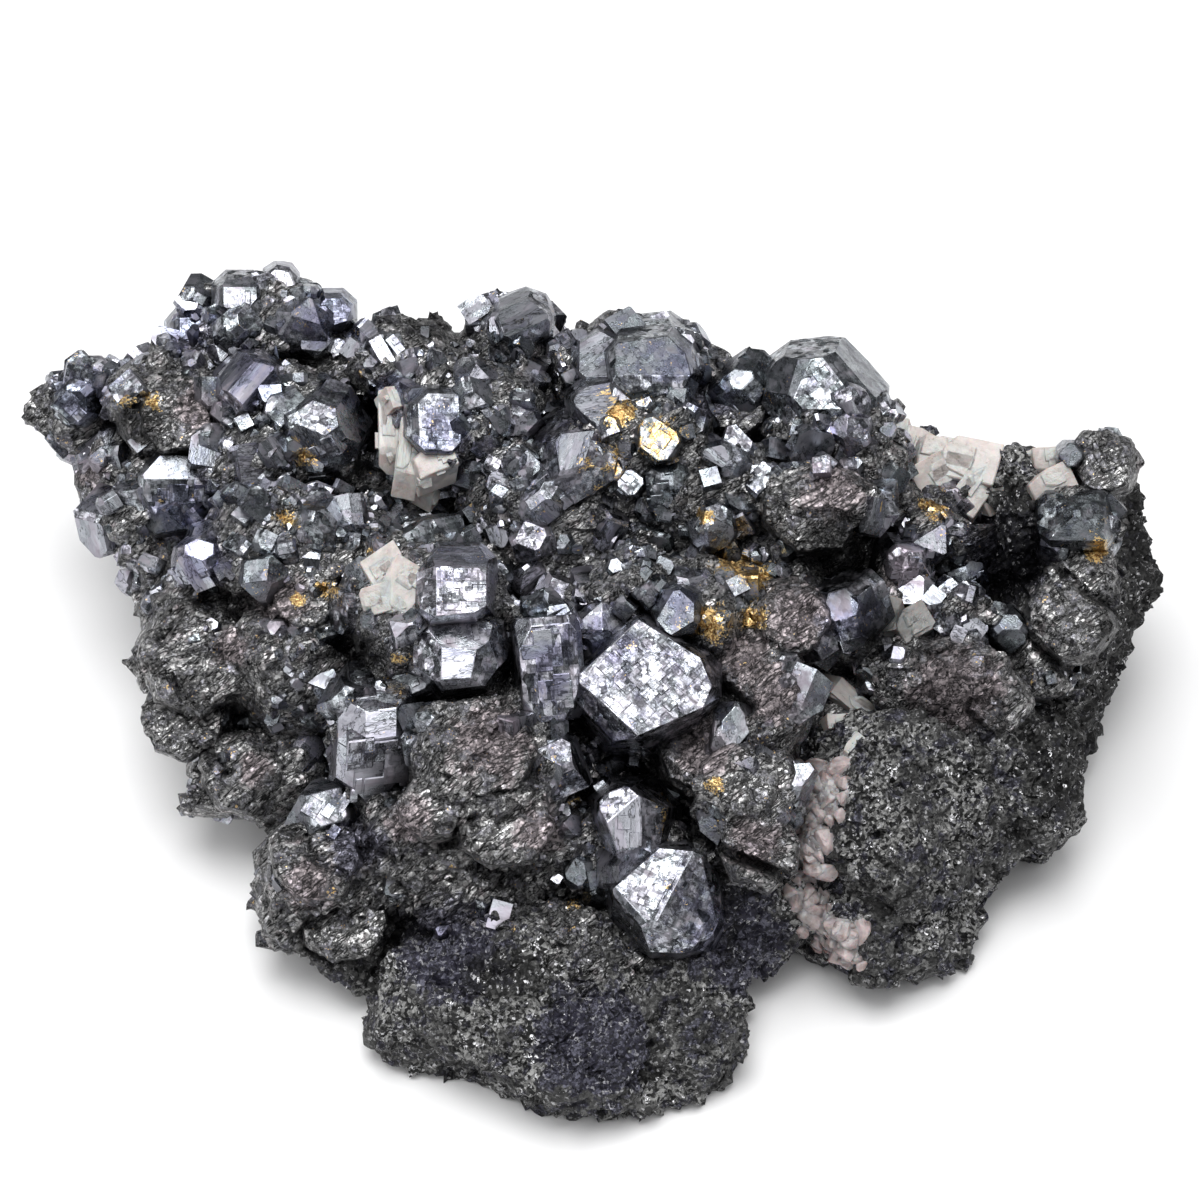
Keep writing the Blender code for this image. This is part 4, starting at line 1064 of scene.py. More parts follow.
def solid_share(shapes):
    """How much of each small block of space the convex shapes fill, near and further round."""
    reach = [int(math.ceil(side / BLOCK)) + 2 * BLOCK_EDGE for side in SPACE]
    first = -np.array((SPACE[0] / 2, SPACE[1] / 2, 0)) - BLOCK_EDGE * BLOCK
    filled = np.zeros(reach, np.float32)
    for shape in shapes:
        points = np.array([vert.co for vert in shape.verts])
        low = np.clip(((points.min(0) - first) / BLOCK).astype(int), 0, reach)
        high = np.clip(((points.max(0) - first) / BLOCK).astype(int) + 2, 0, reach)
        axes = [np.arange(start, end) * BLOCK + origin for start, end, origin in zip(low, high, first)]
        middle = np.stack(np.meshgrid(*axes, indexing="ij"), -1)
        within = np.ones(middle.shape[:3], bool)
        for face in shape.faces:
            within &= (middle - np.array(face.verts[0].co)) @ np.array(face.normal) <= 0
        filled[low[0]:high[0], low[1]:high[1], low[2]:high[2]] += within
    filled = np.minimum(filled, 1)
    return first, [blurred(filled, width) for width in BLOCK_BLURS]


def blurred(filled, width):
    """The average of the blocks up to this far along each axis."""
    for axis in range(3):
        padded = np.pad(filled, [(width + 1, width) if way == axis else (0, 0) for way in range(3)])
        total = np.moveaxis(np.cumsum(padded, axis), axis, 0)
        step = 2 * width + 1
        filled = np.moveaxis((total[step:] - total[:-step]) / step, 0, axis)
    return filled


def mark_open(mesh, space):
    """Stores how open the surface is to the light, which sets the painted shade in gaps: 1 in the open, 0
    in a deep gap.
    """
    first, shares = space
    points, normals = points_of(mesh), normals_of(mesh)
    still_open = np.ones(len(points))
    for share, lift, least, most in zip(shares, BLOCK_LIFTS, *BLOCK_LIMITS):
        at = ((points + normals * lift - first) / BLOCK).round().astype(int)
        at = np.clip(at, 0, np.array(share.shape) - 1)
        gap_shade = np.clip((share[at[:, 0], at[:, 1], at[:, 2]] - least) / (most - least), 0, 1)
        still_open *= 1 - gap_shade
    mark(mesh, "open", "FLOAT", still_open)


def mark_tarnish_and_shade(mesh):
    """Stores where the gold, brown and violet tarnish lies, and how light the place is: painted shade
    that darkens the shaded spots and the thin cracks, kept in the alpha.
    """
    places = show_places(points_of(mesh))
    shares = [inside(places, spots) for spots in (GOLD_SPOTS, BROWN_SPOTS, VIOLET_SPOTS)]
    # Painted shade: darker in the shaded spots and along the thin cracks
    light = 1 - np.clip(inside(places, SHADED_SPOTS) * SHADED_RIM, 0, 1)
    light *= 1 - THIN_SHADE * crack_depth(places, THIN_CRACKS, THIN_WIDTH)
    mark(mesh, "tarnish", "FLOAT_COLOR", np.clip(np.stack(shares + [light], 1), 0, 1))


def crystal_form(form, half, seed, spread=CRYSTAL_SPREAD):
    """A cube, half size 1, with octahedron faces on its corners and dodecahedron faces on its edges."""
    draw = random.Random(seed)
    corner, edge = FORMS[form] if form != "cubic" or half > SMALL_CUBE else (None, None)
    bm = cube()
    for x, y, z in itertools.product((-1, 0, 1), repeat=3):
        buried = z < 0 and form != "octahedral"
        reach = {2: edge, 3: corner}.get(abs(x) + abs(y) + abs(z))
        if buried or reach is None:
            continue
        way = Vector((x, y, z)).normalized()
        cut_away(bm, way, reach * draw.uniform(1 - spread, 1 + spread))
    bmesh.ops.recalc_face_normals(bm, faces=bm.faces)
    return bm


def corner_up(form):
    """The octahedral and rounded forms lead with a corner of their cube."""
    if form in ("cubic", "mixed"):
        return Matrix.Identity(4)
    return Vector((1, 1, 1)).rotation_difference(Vector((0, 0, 1))).to_matrix().to_4x4()


def growth_steps(half, seed):
    """Small cubes in step with a large crystal: each stands out of one of its faces by a thin step."""
    draw = random.Random(seed + " steps")
    steps = []
    for number in range(int(STEPS_PER_MM * half)):
        share = draw.uniform(*STEP_SHARE)
        way = draw.choice([0, 1, 2, 2, 2])
        side = 1 if way == 2 else draw.choice([-1, 1])
        middle = [draw.uniform(-STEP_PLACE, STEP_PLACE) * (1 - share) for _ in range(3)]
        middle[way] = side * (1 - share + draw.uniform(*STEP_RISE))
        step = crystal_form("cubic", SMALL_CUBE, f"{seed} {number}")
        stretch = [share * draw.uniform(*STEP_STRETCH) for _ in range(3)]
        stretch[way] = share
        place = Matrix.Translation(middle) @ Matrix.Diagonal((*stretch, 1))
        bmesh.ops.transform(step, verts=step.verts, matrix=place)
        steps.append(step)
    return steps


def soften_edges(bm, width):
    bmesh.ops.bevel(bm, geom=bm.edges[:], offset=width, segments=1, affect="EDGES", clamp_overlap=True)


def pattern_offset(draw):
    """How far the pattern of a small shape lies from those of its neighbours."""
    return Vector([draw.uniform(-PATTERN_SPREAD, PATTERN_SPREAD) for _ in range(3)])


def finish_crystal(name, shapes, softness, in_step, place, leading=None, leading_look=0.0):
    """Softens the edges of a crystal and its steps, gives each face its look, and sets them in place."""
    draw = random.Random(name + " tone")
    offset = pattern_offset(draw)
    tone = draw.random()
    for shape in shapes:
        soften_edges(shape, softness * draw.uniform(*SOFT_SPREAD))
        lattice = shape.verts.layers.float_vector.new("lattice")
        tones = shape.verts.layers.float.new("tone")
        facets = shape.faces.layers.float.new("facet")
        for vert in shape.verts:
            vert[lattice] = in_step @ vert.co + offset
            vert[tones] = tone
        for face in shape.faces:
            leads = leading is not None and face.normal.dot(leading) > SAME_WAY
            face[facets] = leading_look if leads else draw.random()
        bmesh.ops.transform(shape, verts=shape.verts, matrix=place)


def table_crystal(name, row, surface):
    """One crystal of the tables with its growth steps: its shapes, its middle and its reach in mm."""
    right, up, half, form, turned_right, turned_up, spin, length = row
    half *= SMALL_SHARE if half < LEAST_HALF else 1
    met, sight = surface_point(surface, right, up)
    size = half * MM
    place = (
        Matrix.Translation(met + SINK * size * sight)
        @ sight_turn(turned_right, turned_up, spin)
        @ Matrix.Diagonal((size * length, size, size, 1))
        @ corner_up(form)
    )
    shapes = [crystal_form(form, half, name)]
    if half > STEPPED_HALF:
        shapes += growth_steps(half, name)
    finish_crystal(name, shapes, SOFT_CRYSTAL, Matrix.Scale(half, 4), place)
    return shapes, place.translation, half * max(1, length)


def cut_body(lead, front, facets):
    """The body of a cut crystal in its own view (mm), how high it is at a spot, and its reach."""
    planes = [(lead, front)]

    def height(spot):
        return min(level + slope.dot(spot) for slope, level in planes)

    reach = max(out for _, out, _ in facets)
    turns = range(0, 360, CLOSING_TURN)
    closing = [(turn + facets[0][0], reach + CLOSING_GAP, CLOSING_DROP) for turn in turns]
    for way, out, drop in [*facets, *closing]:
        outward = Vector((math.cos(math.radians(way)), math.sin(math.radians(way))))
        slope = lead - drop * outward
        planes.append((slope, height(outward * out) - slope.dot(outward * out)))
    wide = BODY_WIDE * reach
    block = Matrix.Diagonal((wide, wide, BODY_DEEP * front, 1))
    body = cube(Matrix.Translation((0, 0, BODY_MIDDLE * front)) @ block)
    for slope, level in planes:
        way = Vector((*-slope, 1)).normalized()
        cut_away(body, way, way.z * level)
    bmesh.ops.recalc_face_normals(body, faces=body.faces)
    return body, height, reach


def growth_plates(name, count, reach, top, lattice, height):
    """Thin plates in step with a cut crystal, on its leading face, which lies this far out along it."""
    draw = random.Random(name + " plates")
    plates = []
    for _ in range(count * PLATE_TRIES):
        if len(plates) == count:
            break
        middle = [draw.uniform(-PLATE_PLACE, PLATE_PLACE) * reach for _ in range(2)]
        sides = [min(PLATE_LARGEST * reach, draw.uniform(*PLATE_SIDES)) for _ in range(2)]
        thickness = draw.uniform(*PLATE_THICKNESS)
        level = top - thickness + draw.uniform(*PLATE_RISE)
        place = lattice @ Matrix.Translation((*middle, level)) @ Matrix.Diagonal((*sides, thickness, 1))
        corners = [place @ Vector((x, y, 1)) for x, y in itertools.product((-1, 1), repeat=2)]
        if all(corner.z - PLATE_INSET <= height(corner.xy) for corner in corners):
            plates.append(cube(place))
    return plates


def cut_crystal(name, row, surface):
    """A main crystal, cut facet by facet, with growth plates: its shapes, its middle and its reach."""
    right, up, front, turned_right, turned_up, plates, facets = row
    met, sight = surface_point(surface, right, up)
    side = (TO_RIGHT - TO_RIGHT.dot(sight) * sight).normalized()
    view = Matrix((side, side.cross(sight), -sight)).transposed().to_4x4()
    place = Matrix.Translation(met + SINK * front * MM * sight) @ view @ Matrix.Scale(MM, 4)

    across, rise = math.radians(turned_right), math.radians(turned_up)
    lead = Vector((-math.tan(across), -math.tan(rise) / math.cos(across)))
    body, height, reach = cut_body(lead, front, facets)
    leading = Vector((*-lead, 1)).normalized()
    first = math.radians(facets[0][0])
    first = Vector((math.cos(first), math.sin(first), 0))
    along = (first - first.dot(leading) * leading).normalized()
    lattice = Matrix((along, leading.cross(along), leading)).transposed().to_4x4()
    shapes = [body] + growth_plates(name, plates, reach, leading.z * front, lattice, height)
    look = PLATED_LOOK + LOOK_PER_PLATE * min(plates, MOST_PLATES) if plates else BARE_LOOK
    finish_crystal(name, shapes, SOFT_CUT, lattice.inverted(), place, leading, look)
    return shapes, place.translation, reach


def template(bm):
    """Points, triangles and the face number of each triangle of a small shape, to be scattered."""
    mesh = bpy.data.meshes.new("template")
    bm.to_mesh(mesh)
    bm.free()
    triangles = triangles_of(mesh)
    faces = np.empty(len(triangles), np.int32)
    mesh.loop_triangles.foreach_get("polygon_index", faces)
    points = points_of(mesh)
    bpy.data.meshes.remove(mesh)
    return points, triangles, faces


def chip_templates(kind, shape):
    """Broken chips of one kind, to be scattered in turn."""
    return [template(chip(f"{kind} {number}", *shape)) for number in range(SHAPES_EACH)]


def spots_on(mesh, count, seed):
    """Places spread evenly over a mesh, and the way that the surface faces there."""
    points, triangles = points_of(mesh), triangles_of(mesh)
    first, second, third = (points[triangles[:, corner]] for corner in range(3))
    facing = np.cross(second - first, third - first)
    area = np.linalg.norm(facing, axis=1)
    draw = np.random.default_rng(seed)
    chosen = draw.choice(len(triangles), count, p=area / area.sum())
    along, across = draw.random(count), draw.random(count)
    folded = along + across > 1
    along[folded], across[folded] = 1 - along[folded], 1 - across[folded]
    spots = (
        first[chosen]
        + along[:, None] * (second - first)[chosen]
        + across[:, None] * (third - first)[chosen]
    )
    return spots, facing[chosen] / area[chosen][:, None], draw


def any_turns(count, draw):
    """Turns in every direction, evenly spread."""
    quaternion = draw.normal(size=(count, 4))
    w, x, y, z = (quaternion / np.linalg.norm(quaternion, axis=1)[:, None]).T
    return np.stack([
        1 - 2 * (y * y + z * z), 2 * (x * y - w * z), 2 * (x * z + w * y),
        2 * (x * y + w * z), 1 - 2 * (x * x + z * z), 2 * (y * z - w * x),
        2 * (x * z - w * y), 2 * (y * z + w * x), 1 - 2 * (x * x + y * y),
    ], 1).reshape(-1, 3, 3)


def laid_turns(facing, way, draw):
    """Turns that lay a chip flat on the surface, its length along a way, each off by a little."""
    way = way + draw.normal(size=facing.shape) * CHIP_WAY_SPREAD
    upright = facing + draw.normal(size=facing.shape) * CHIP_TILT
    upright /= np.linalg.norm(upright, axis=1)[:, None]
    along = way - (way * upright).sum(1)[:, None] * upright
    along /= np.linalg.norm(along, axis=1)[:, None]
    return np.stack([along, np.cross(upright, along), upright], 2)


def scattered(name, templates, spots, turns, sizes, draw):
    """One mesh of small shapes, each a template in turn, with its own place, turn and size."""
    all_points, all_triangles, lattices, facets, tones = [], [], [], [], []
    first = 0
    for number, (points, triangles, faces) in enumerate(templates):
        chosen = np.arange(number, len(spots), len(templates))
        shape = points[None] * sizes[chosen][:, None, :]
        placed = np.einsum("nij,nkj->nki", turns[chosen], shape) + spots[chosen][:, None]
        count = len(chosen)
        starts = first + np.arange(count) * len(points)
        all_points.append(placed.reshape(-1, 3))
        all_triangles.append((triangles[None] + starts[:, None, None]).reshape(-1, 3))
        offset = draw.uniform(-PATTERN_SPREAD, PATTERN_SPREAD, (count, 1, 3))
        lattices.append((shape / MM + offset).reshape(-1, 3))
        facets.append(draw.random((count, faces.max() + 1))[:, faces].ravel())
        tones.append(np.repeat(draw.random(count), len(points)))
        first += count * len(points)
    triangles = np.concatenate(all_triangles)
    mesh = bpy.data.meshes.new(name)
    mesh.vertices.add(first)
    move_points(mesh, np.concatenate(all_points))
    mesh.loops.add(triangles.size)
    mesh.loops.foreach_set("vertex_index", triangles.astype(np.int32).ravel())
    mesh.polygons.add(len(triangles))
    mesh.polygons.foreach_set("loop_start", np.arange(0, triangles.size, 3, dtype=np.int32))
    mesh.update(calc_edges=True)
    mesh.shade_flat()
    mark(mesh, "lattice", "FLOAT_VECTOR", np.concatenate(lattices))
    mark(mesh, "facet", "FLOAT", np.concatenate(facets))
    mark(mesh, "tone", "FLOAT", np.concatenate(tones))
    return mesh


def clear_of(spots, taken, share):
    """Which spots lie well inside the solid's box and outside the round places already taken."""
    low, high = np.array(cad_box)[:, :2]
    clear = ((spots[:, :2] > low + BOX_MARGIN) & (spots[:, :2] < high - BOX_MARGIN)).all(1)
    for middle, reach in taken:
        clear &= np.linalg.norm(spots - np.array(middle), axis=1) > share * reach * MM
    return clear


def small_crystals(name, ore, taken):
    """Small crystals scattered over the ore, few on the massive patches."""
    count, seed, (least, most) = SCATTERED[name]
    spots, facing, draw = spots_on(ore, count, seed)
    places = show_places(spots)
    bare = np.maximum(inside(places, MASSIVE), inside(places, SHADED_SPOTS))
    grown = draw.random(len(spots)) > np.clip(bare * BARE_RIM, 0, BARE_MOST)
    keep = clear_of(spots, taken, CRYSTALS_CLEAR) & grown
    keep &= crack_share(places, CRACKS, CRACK_WIDTH) <= 0
    spots, facing = spots[keep], facing[keep]
    size = (least + (most - least) * draw.random(len(spots)) ** 2.0) * MM
    towards_eye = facing @ np.array(TO_EYE)
    on_brim = (towards_eye > BRIM_FACING[0]) & (towards_eye < BRIM_FACING[1])
    size *= np.where(on_brim, BRIM_SHARE, 1)
    stretch = draw.uniform(*SCATTERED_STRETCH, (len(spots), 3))
    templates = [
        template(crystal_form(form, SCATTERED_HALF, f"druse {number}", SCATTERED_SPREAD))
        for number, form in enumerate(SCATTERED_FORMS)
    ]
    sunk = spots - facing * (size * draw.uniform(*SCATTERED_SUNK, len(spots)))[:, None]
    turns = any_turns(len(spots), draw)
    return scattered(name, templates, sunk, turns, stretch * size[:, None], draw)


def rubble(surface, draw):
    """Places of small broken crystals along the foot of the ore."""
    spots = []
    for spot in along_path(RUBBLE, RUBBLE_CHIPS):
        spot += Vector(draw.normal(0, RUBBLE_SPREAD, 2))
        spots.append(surface_point(surface, *spot)[0])
    return np.array(spots)


def broken_chips(ore, taken, surface):
    """Broken chips on the massive ore. Those on the ridged patches lie along the ridges."""
    spots, facing, draw = spots_on(ore, CHIP_SPOTS, CHIP_SEED)
    places = show_places(spots)
    share = np.clip(1 - inside(places, MASSIVE) * CHIP_RIM, CHIP_LEAST, 1)
    keep = clear_of(spots, taken, CHIPS_CLEAR) & (draw.random(len(spots)) < share)
    keep &= crack_share(places, CRACKS, CRACK_WIDTH) <= 0
    loose = rubble(surface, draw)
    spots = np.concatenate([spots[keep], loose])
    facing = np.concatenate([facing[keep], np.full(loose.shape, TO_EYE)])
    ridged = inside(show_places(spots), RIDGED) > RIDGED_RIM
    ridge = np.array(math.cos(RIDGE_WAY) * TO_RIGHT + math.sin(RIDGE_WAY) * TO_TOP)
    way = np.where(ridged[:, None], ridge, draw.normal(size=facing.shape))
    size = draw.uniform(*CHIP_SIZES, len(spots)) * MM
    size[-len(loose):] *= RUBBLE_SHARE
    length = np.where(ridged, RIDGED_LENGTH, CHIP_LENGTH)
    stretch = np.stack([length, np.ones(len(spots)), np.full(len(spots), CHIP_FLATNESS)], 1)
    sunk = spots - facing * (size * CHIP_SUNK)[:, None]
    turns = laid_turns(facing, way, draw)
    templates = chip_templates("chip", CHIP_SHAPE)
    return scattered("broken_chips", templates, sunk, turns, stretch * size[:, None], draw)


def rock_grains(rock):
    """Small angular grains that the rock is made of."""
    spots, facing, draw = spots_on(rock, GRAIN_SPOTS, GRAIN_SEED)
    keep = spots[:, 2] > GRAIN_CLEAR
    spots, facing = spots[keep], facing[keep]
    least, more = GRAIN_SIZES
    size = (least + more * draw.random(len(spots)) ** 3) * MM
    sunk = spots - facing * (size * GRAIN_SUNK)[:, None]
    turns = any_turns(len(spots), draw)
    templates = chip_templates("grain", GRAIN_SHAPE)
    return scattered("rock_grains", templates, sunk, turns, np.repeat(size[:, None], 3, 1), draw)


def mark_pattern(shape, half, draw):
    """Stores for each point where it lies in the pattern of its own shape, of this half size in mm."""
    lattice = shape.verts.layers.float_vector.new("lattice")
    offset = pattern_offset(draw)
    for vert in shape.verts:
        vert[lattice] = vert.co * half + offset


def cleaved_rhomb(name, row, surface):
    """One broken calcite rhomb of the table, with cleavage steps and splinters round it."""
    right, up, half, length, spin, depth = row
    met, sight = surface_point(surface, right, up)
    size = half * MM
    draw = random.Random(name)
    turn = sight_turn(draw.uniform(-RHOMB_TURN, RHOMB_TURN), draw.uniform(0, RHOMB_RISE), spin)
    lean = Matrix.Shear("XY", 4, RHOMB_LEAN)
    stretch = Matrix.Diagonal((size * length, size, size, 1))
    main = Matrix.Translation(met + depth * size * sight) @ turn @ stretch
    shapes = []
    for number in range(1 + RHOMB_STEPS + RHOMB_SPLINTERS):
        shape = cube()
        for _ in range(RHOMB_CUTS):
            way = Vector([draw.gauss(0, 1) for _ in range(3)]).normalized()
            cut_away(shape, way, draw.uniform(*RHOMB_CUT_REACH))
        local = Matrix.Identity(4)
        if 0 < number <= RHOMB_STEPS:
            share = draw.uniform(*STEP_SIZES)
            shift = Vector([draw.uniform(-1, 1) * (1 - share) for _ in range(3)])
            shift.z = 1 - share + STEP_PROUD
            local = Matrix.Translation(shift) @ Matrix.Scale(share, 4)
        elif number > RHOMB_STEPS:
            share = draw.uniform(*SPLINTER_SIZES)
            shift = [draw.uniform(-SPLINTER_REACH, SPLINTER_REACH) for _ in range(2)]
            shift.append(draw.uniform(0.0, SPLINTER_RISE))
            twist = Matrix.Rotation(draw.uniform(-SPLINTER_TURN, SPLINTER_TURN), 4, draw.choice("XYZ"))
            local = Matrix.Translation(shift) @ twist @ Matrix.Scale(share, 4)
        soften_edges(shape, SOFT_RHOMB)
        mark_pattern(shape, half, draw)
        bmesh.ops.transform(shape, verts=shape.verts, matrix=main @ lean @ local)
        shapes.append(shape)
    return shapes


def vein_grains(surface):
    """The vein: a band of small broken grains along its path."""
    draw = random.Random("vein")
    shapes = []
    for number, spot in enumerate(along_path(VEIN, VEIN_GRAINS)):
        spot += Vector((draw.gauss(0, VEIN_SPREAD), draw.gauss(0, VEIN_SPREAD)))
        half = draw.uniform(*VEIN_SIZES)
        met, sight = surface_point(surface, *spot)
        shape = chip(f"vein {number}", *VEIN_SHAPE)
        soften_edges(shape, SOFT_VEIN)
        mark_pattern(shape, half, draw)
        turned = draw.uniform(0, FULL_TURN)
        turn = Matrix.Rotation(turned, 4, Vector([draw.gauss(0, 1) for _ in range(3)]))
        sunk = Matrix.Translation(met + VEIN_SUNK * half * MM * sight)
        place = sunk @ turn @ Matrix.Scale(half * MM, 4)
        bmesh.ops.transform(shape, verts=shape.verts, matrix=place)
        shapes.append(shape)
    return shapes


class Paint:
    """Adds shader nodes to a material or a group, and joins them."""

    def __init__(self, tree):
        self.tree = tree

    def join(self, values, sockets):
        """Joins or sets inputs by name or number."""
        for key, value in values.items():
            if isinstance(value, bpy.types.NodeSocket):
                self.tree.links.new(value, sockets[key])
            else:
                sockets[key].default_value = value

    def add(self, kind, inputs=None, **settings):
        node = self.tree.nodes.new("ShaderNode" + kind)
        for name, value in settings.items():
            setattr(node, name, value)
        self.join(inputs or {}, node.inputs)
        return node.outputs

    def group(self, tree, inputs):
        return self.add("Group", inputs, node_tree=tree)

    def mark(self, name, output="Fac"):
        """What is stored on the mesh under this name."""
        return self.add("Attribute", attribute_name=name)[output]

    def marks(self):
        """The shares of gold, brown and violet tarnish."""
        return self.add("SeparateColor", {0: self.mark("tarnish", "Color")})

    def position(self):
        """The place in millimetres."""
        return self.scale(self.add("NewGeometry")["Position"], 1 / MM)

    def facing(self):
        return self.add("NewGeometry")["Normal"]

    def math(self, operation, first, second=0.0, clamp=False):
        return self.add("Math", {0: first, 1: second}, operation=operation, use_clamp=clamp)[0]

    def plus(self, first, second):
        return self.math("ADD", first, second)

    def minus(self, first, second):
        return self.math("SUBTRACT", first, second)

    def times(self, first, second):
        return self.math("MULTIPLY", first, second)

    def larger(self, first, second):
        return self.math("MAXIMUM", first, second)

    def vector(self, operation, first, second=(0, 0, 0)):
        return self.add("VectorMath", {0: first, 1: second}, operation=operation)[0]

    def scale(self, vector, share):
        return self.add("VectorMath", {0: vector, "Scale": share}, operation="SCALE")[0]

    def colour(self, share, first, second):
        return self.add("Mix", {0: share, 6: first, 7: second}, data_type="RGBA")[2]

    def number(self, share, first, second):
        return self.add("Mix", {0: share, 2: first, 3: second}, data_type="FLOAT")[0]

    def tinted(self, colour, tint):
        return self.add("Mix", {0: 1.0, 6: colour, 7: tint}, data_type="RGBA", blend_type="MULTIPLY")[2]

    def darken(self, colour, share):
        return self.tinted(colour, self.add("CombineColor", {0: share, 1: share, 2: share})[0])

    def fade(self, value, low, high, to_low=0.0, to_high=1.0):
        """Runs smoothly from one value to another, between a low and a high limit."""
        inputs = {"Value": value, 1: low, 2: high, 3: to_low, 4: to_high}
        return self.add("MapRange", inputs, interpolation_type="SMOOTHSTEP")[0]

    def span(self, share, low, high):
        """Runs smoothly from low to high as a share runs from 0 to 1."""
        return self.fade(share, 0.0, 1.0, low, high)

    def noise(self, place, scale, detail=3.0, roughness=0.6):
        inputs = {"Vector": place, "Scale": scale, "Detail": detail, "Roughness": roughness}
        return self.add("TexNoise", inputs)["Fac"]

    def bump(self, height, normal, strength, depth):
        inputs = {"Height": height, "Normal": normal, "Strength": strength, "Distance": depth}
        return self.add("Bump", inputs)[0]

    def painted_gap_shade(self, depth):
        """Painted shade, as a share of the colour: 1 in the open, down to this depth where the surface is
        closed in on or lies in the dark of the shaded spots and thin cracks.
        """
        return self.span(self.times(self.mark("open"), self.mark("tarnish", "Alpha")), depth, 1.0)


def new_group(name, takes, gives):
    """An empty node group: its paint, its inputs by name and its outputs by name."""
    tree = bpy.data.node_groups.new(name, "ShaderNodeTree")
    for way, sockets in (("INPUT", takes), ("OUTPUT", gives)):
        for label, kind in sockets.items():
            tree.interface.new_socket(label, in_out=way, socket_type="NodeSocket" + kind)
    taken = tree.nodes.new("NodeGroupInput").outputs
    given = tree.nodes.new("NodeGroupOutput").inputs
    return tree, Paint(tree), taken, given


def cells_group(name, metric, rim):
    """Small flat cells of one size, each tilted its own way. Their edges fade in over the rim."""
    tree, paint, taken, given = new_group(
        name,
        {"Place": "Vector", "Size": "Float", "Tilt": "Float", "Normal": "Vector"},
        {"Normal": "Vector", "Tone": "Float", "Other Tone": "Float", "Edge": "Float"},
    )
    per_size = paint.math("DIVIDE", 1.0, taken["Size"])
    cell = paint.add("TexVoronoi", {"Vector": taken["Place"], "Scale": per_size}, distance=metric)
    aside = paint.vector("SUBTRACT", cell["Color"], (0.5, 0.5, 0.5))
    leaned = paint.vector("ADD", taken["Normal"], paint.scale(aside, taken["Tilt"]))
    tones = paint.add("SeparateColor", {0: cell["Color"]})
    paint.join({
        "Normal": paint.vector("NORMALIZE", leaned),
        "Tone": tones[0],
        "Other Tone": tones[1],
        "Edge": paint.fade(cell["Distance"], *rim),
    }, given)
    return tree


def grit_group():
    """Pits and thin cracks: the share of the surface that they leave clean, and two heights of grit."""
    tree, paint, taken, given = new_group(
        "grit and cracks",
        {"Place": "Vector", "Size": "Float", "Pits": "Float", "Cracks": "Float"},
        {"Clean": "Float", "Fine": "Float", "Broad": "Float"},
    )
    per_size = paint.math("DIVIDE", 1.0, taken["Size"])
    fine = paint.noise(taken["Place"], per_size, 2.0, 0.7)
    broad = paint.noise(taken["Place"], 0.42, 4.0, 0.68)
    level = paint.fade(broad, 0.35, 0.65, 0.10, -0.14)
    pits = paint.fade(paint.plus(fine, level), 0.36, 0.50, 1.0, 0.0)
    beside = paint.math("ABSOLUTE", paint.minus(broad, 0.53))
    crack = paint.times(paint.fade(beside, 0.004, 0.018, 1.0, 0.0), taken["Cracks"])
    marred = paint.larger(paint.times(pits, taken["Pits"]), crack)
    clean = paint.math("SUBTRACT", 1.0, marred, clamp=True)
    paint.join({"Clean": clean, "Fine": fine, "Broad": broad}, given)
    return tree


def tarnish_group():
    """Gold, brown and violet tarnish over the metal, where it is marked."""
    tree, paint, taken, given = new_group(
        "tarnish",
        {"Fine": "Float", "Broad": "Float", "Colour": "Color", "Roughness": "Float"},
        {"Colour": "Color", "Roughness": "Float", "Metallic": "Float"},
    )
    marks = paint.marks()
    patchy = paint.times(paint.minus(taken["Broad"], 0.5), 2.2)
    specky = paint.times(paint.minus(taken["Fine"], 0.5), 1.3)
    gold = paint.fade(paint.plus(paint.plus(marks[0], patchy), specky), 0.48, 0.54)
    brown = paint.fade(paint.minus(marks[1], patchy), 0.05, 0.55, 0.0, 0.7)
    violet = paint.fade(paint.plus(marks[2], patchy), 0.0, 0.5, 0.0, 0.85)
    tint = paint.tinted(taken["Colour"], paint.colour(violet, NO_TINT, VIOLET_TINT))
    stain = paint.colour(brown, tint, paint.tinted(taken["Colour"], BROWN_STAIN))
    golden = paint.colour(paint.fade(taken["Fine"], 0.42, 0.58), GOLD_DARK, GOLD_LIGHT)
    rough = paint.number(brown, taken["Roughness"], 0.60)
    paint.join({
        "Colour": paint.colour(gold, stain, golden),
        "Roughness": paint.number(gold, rough, 0.34),
        "Metallic": paint.minus(1.0, paint.times(brown, 0.35)),
    }, given)
    return tree


def new_material(name, even=None):
    """A material with these even values: its paint, and the inputs of its shader."""
    material = bpy.data.materials.new(name)
    material.use_nodes = True
    shader = material.node_tree.nodes["Principled BSDF"].inputs
    paint = Paint(material.node_tree)
    paint.join(even or {}, shader)
    return material, paint, shader


def tarnish_and_gap_shade(paint, tarnish, worn, colour, rough, gap_shade):
    """A metal under its tarnish, with painted shade that darkens it in the gaps, as the shader takes it.
    """
    coat = paint.group(tarnish, {
        "Fine": worn["Fine"], "Broad": worn["Broad"], "Colour": colour, "Roughness": rough,
    })
    return {
        "Base Color": paint.darken(coat["Colour"], paint.painted_gap_shade(gap_shade)),
        "Roughness": coat["Roughness"],
        "Metallic": coat["Metallic"],
    }


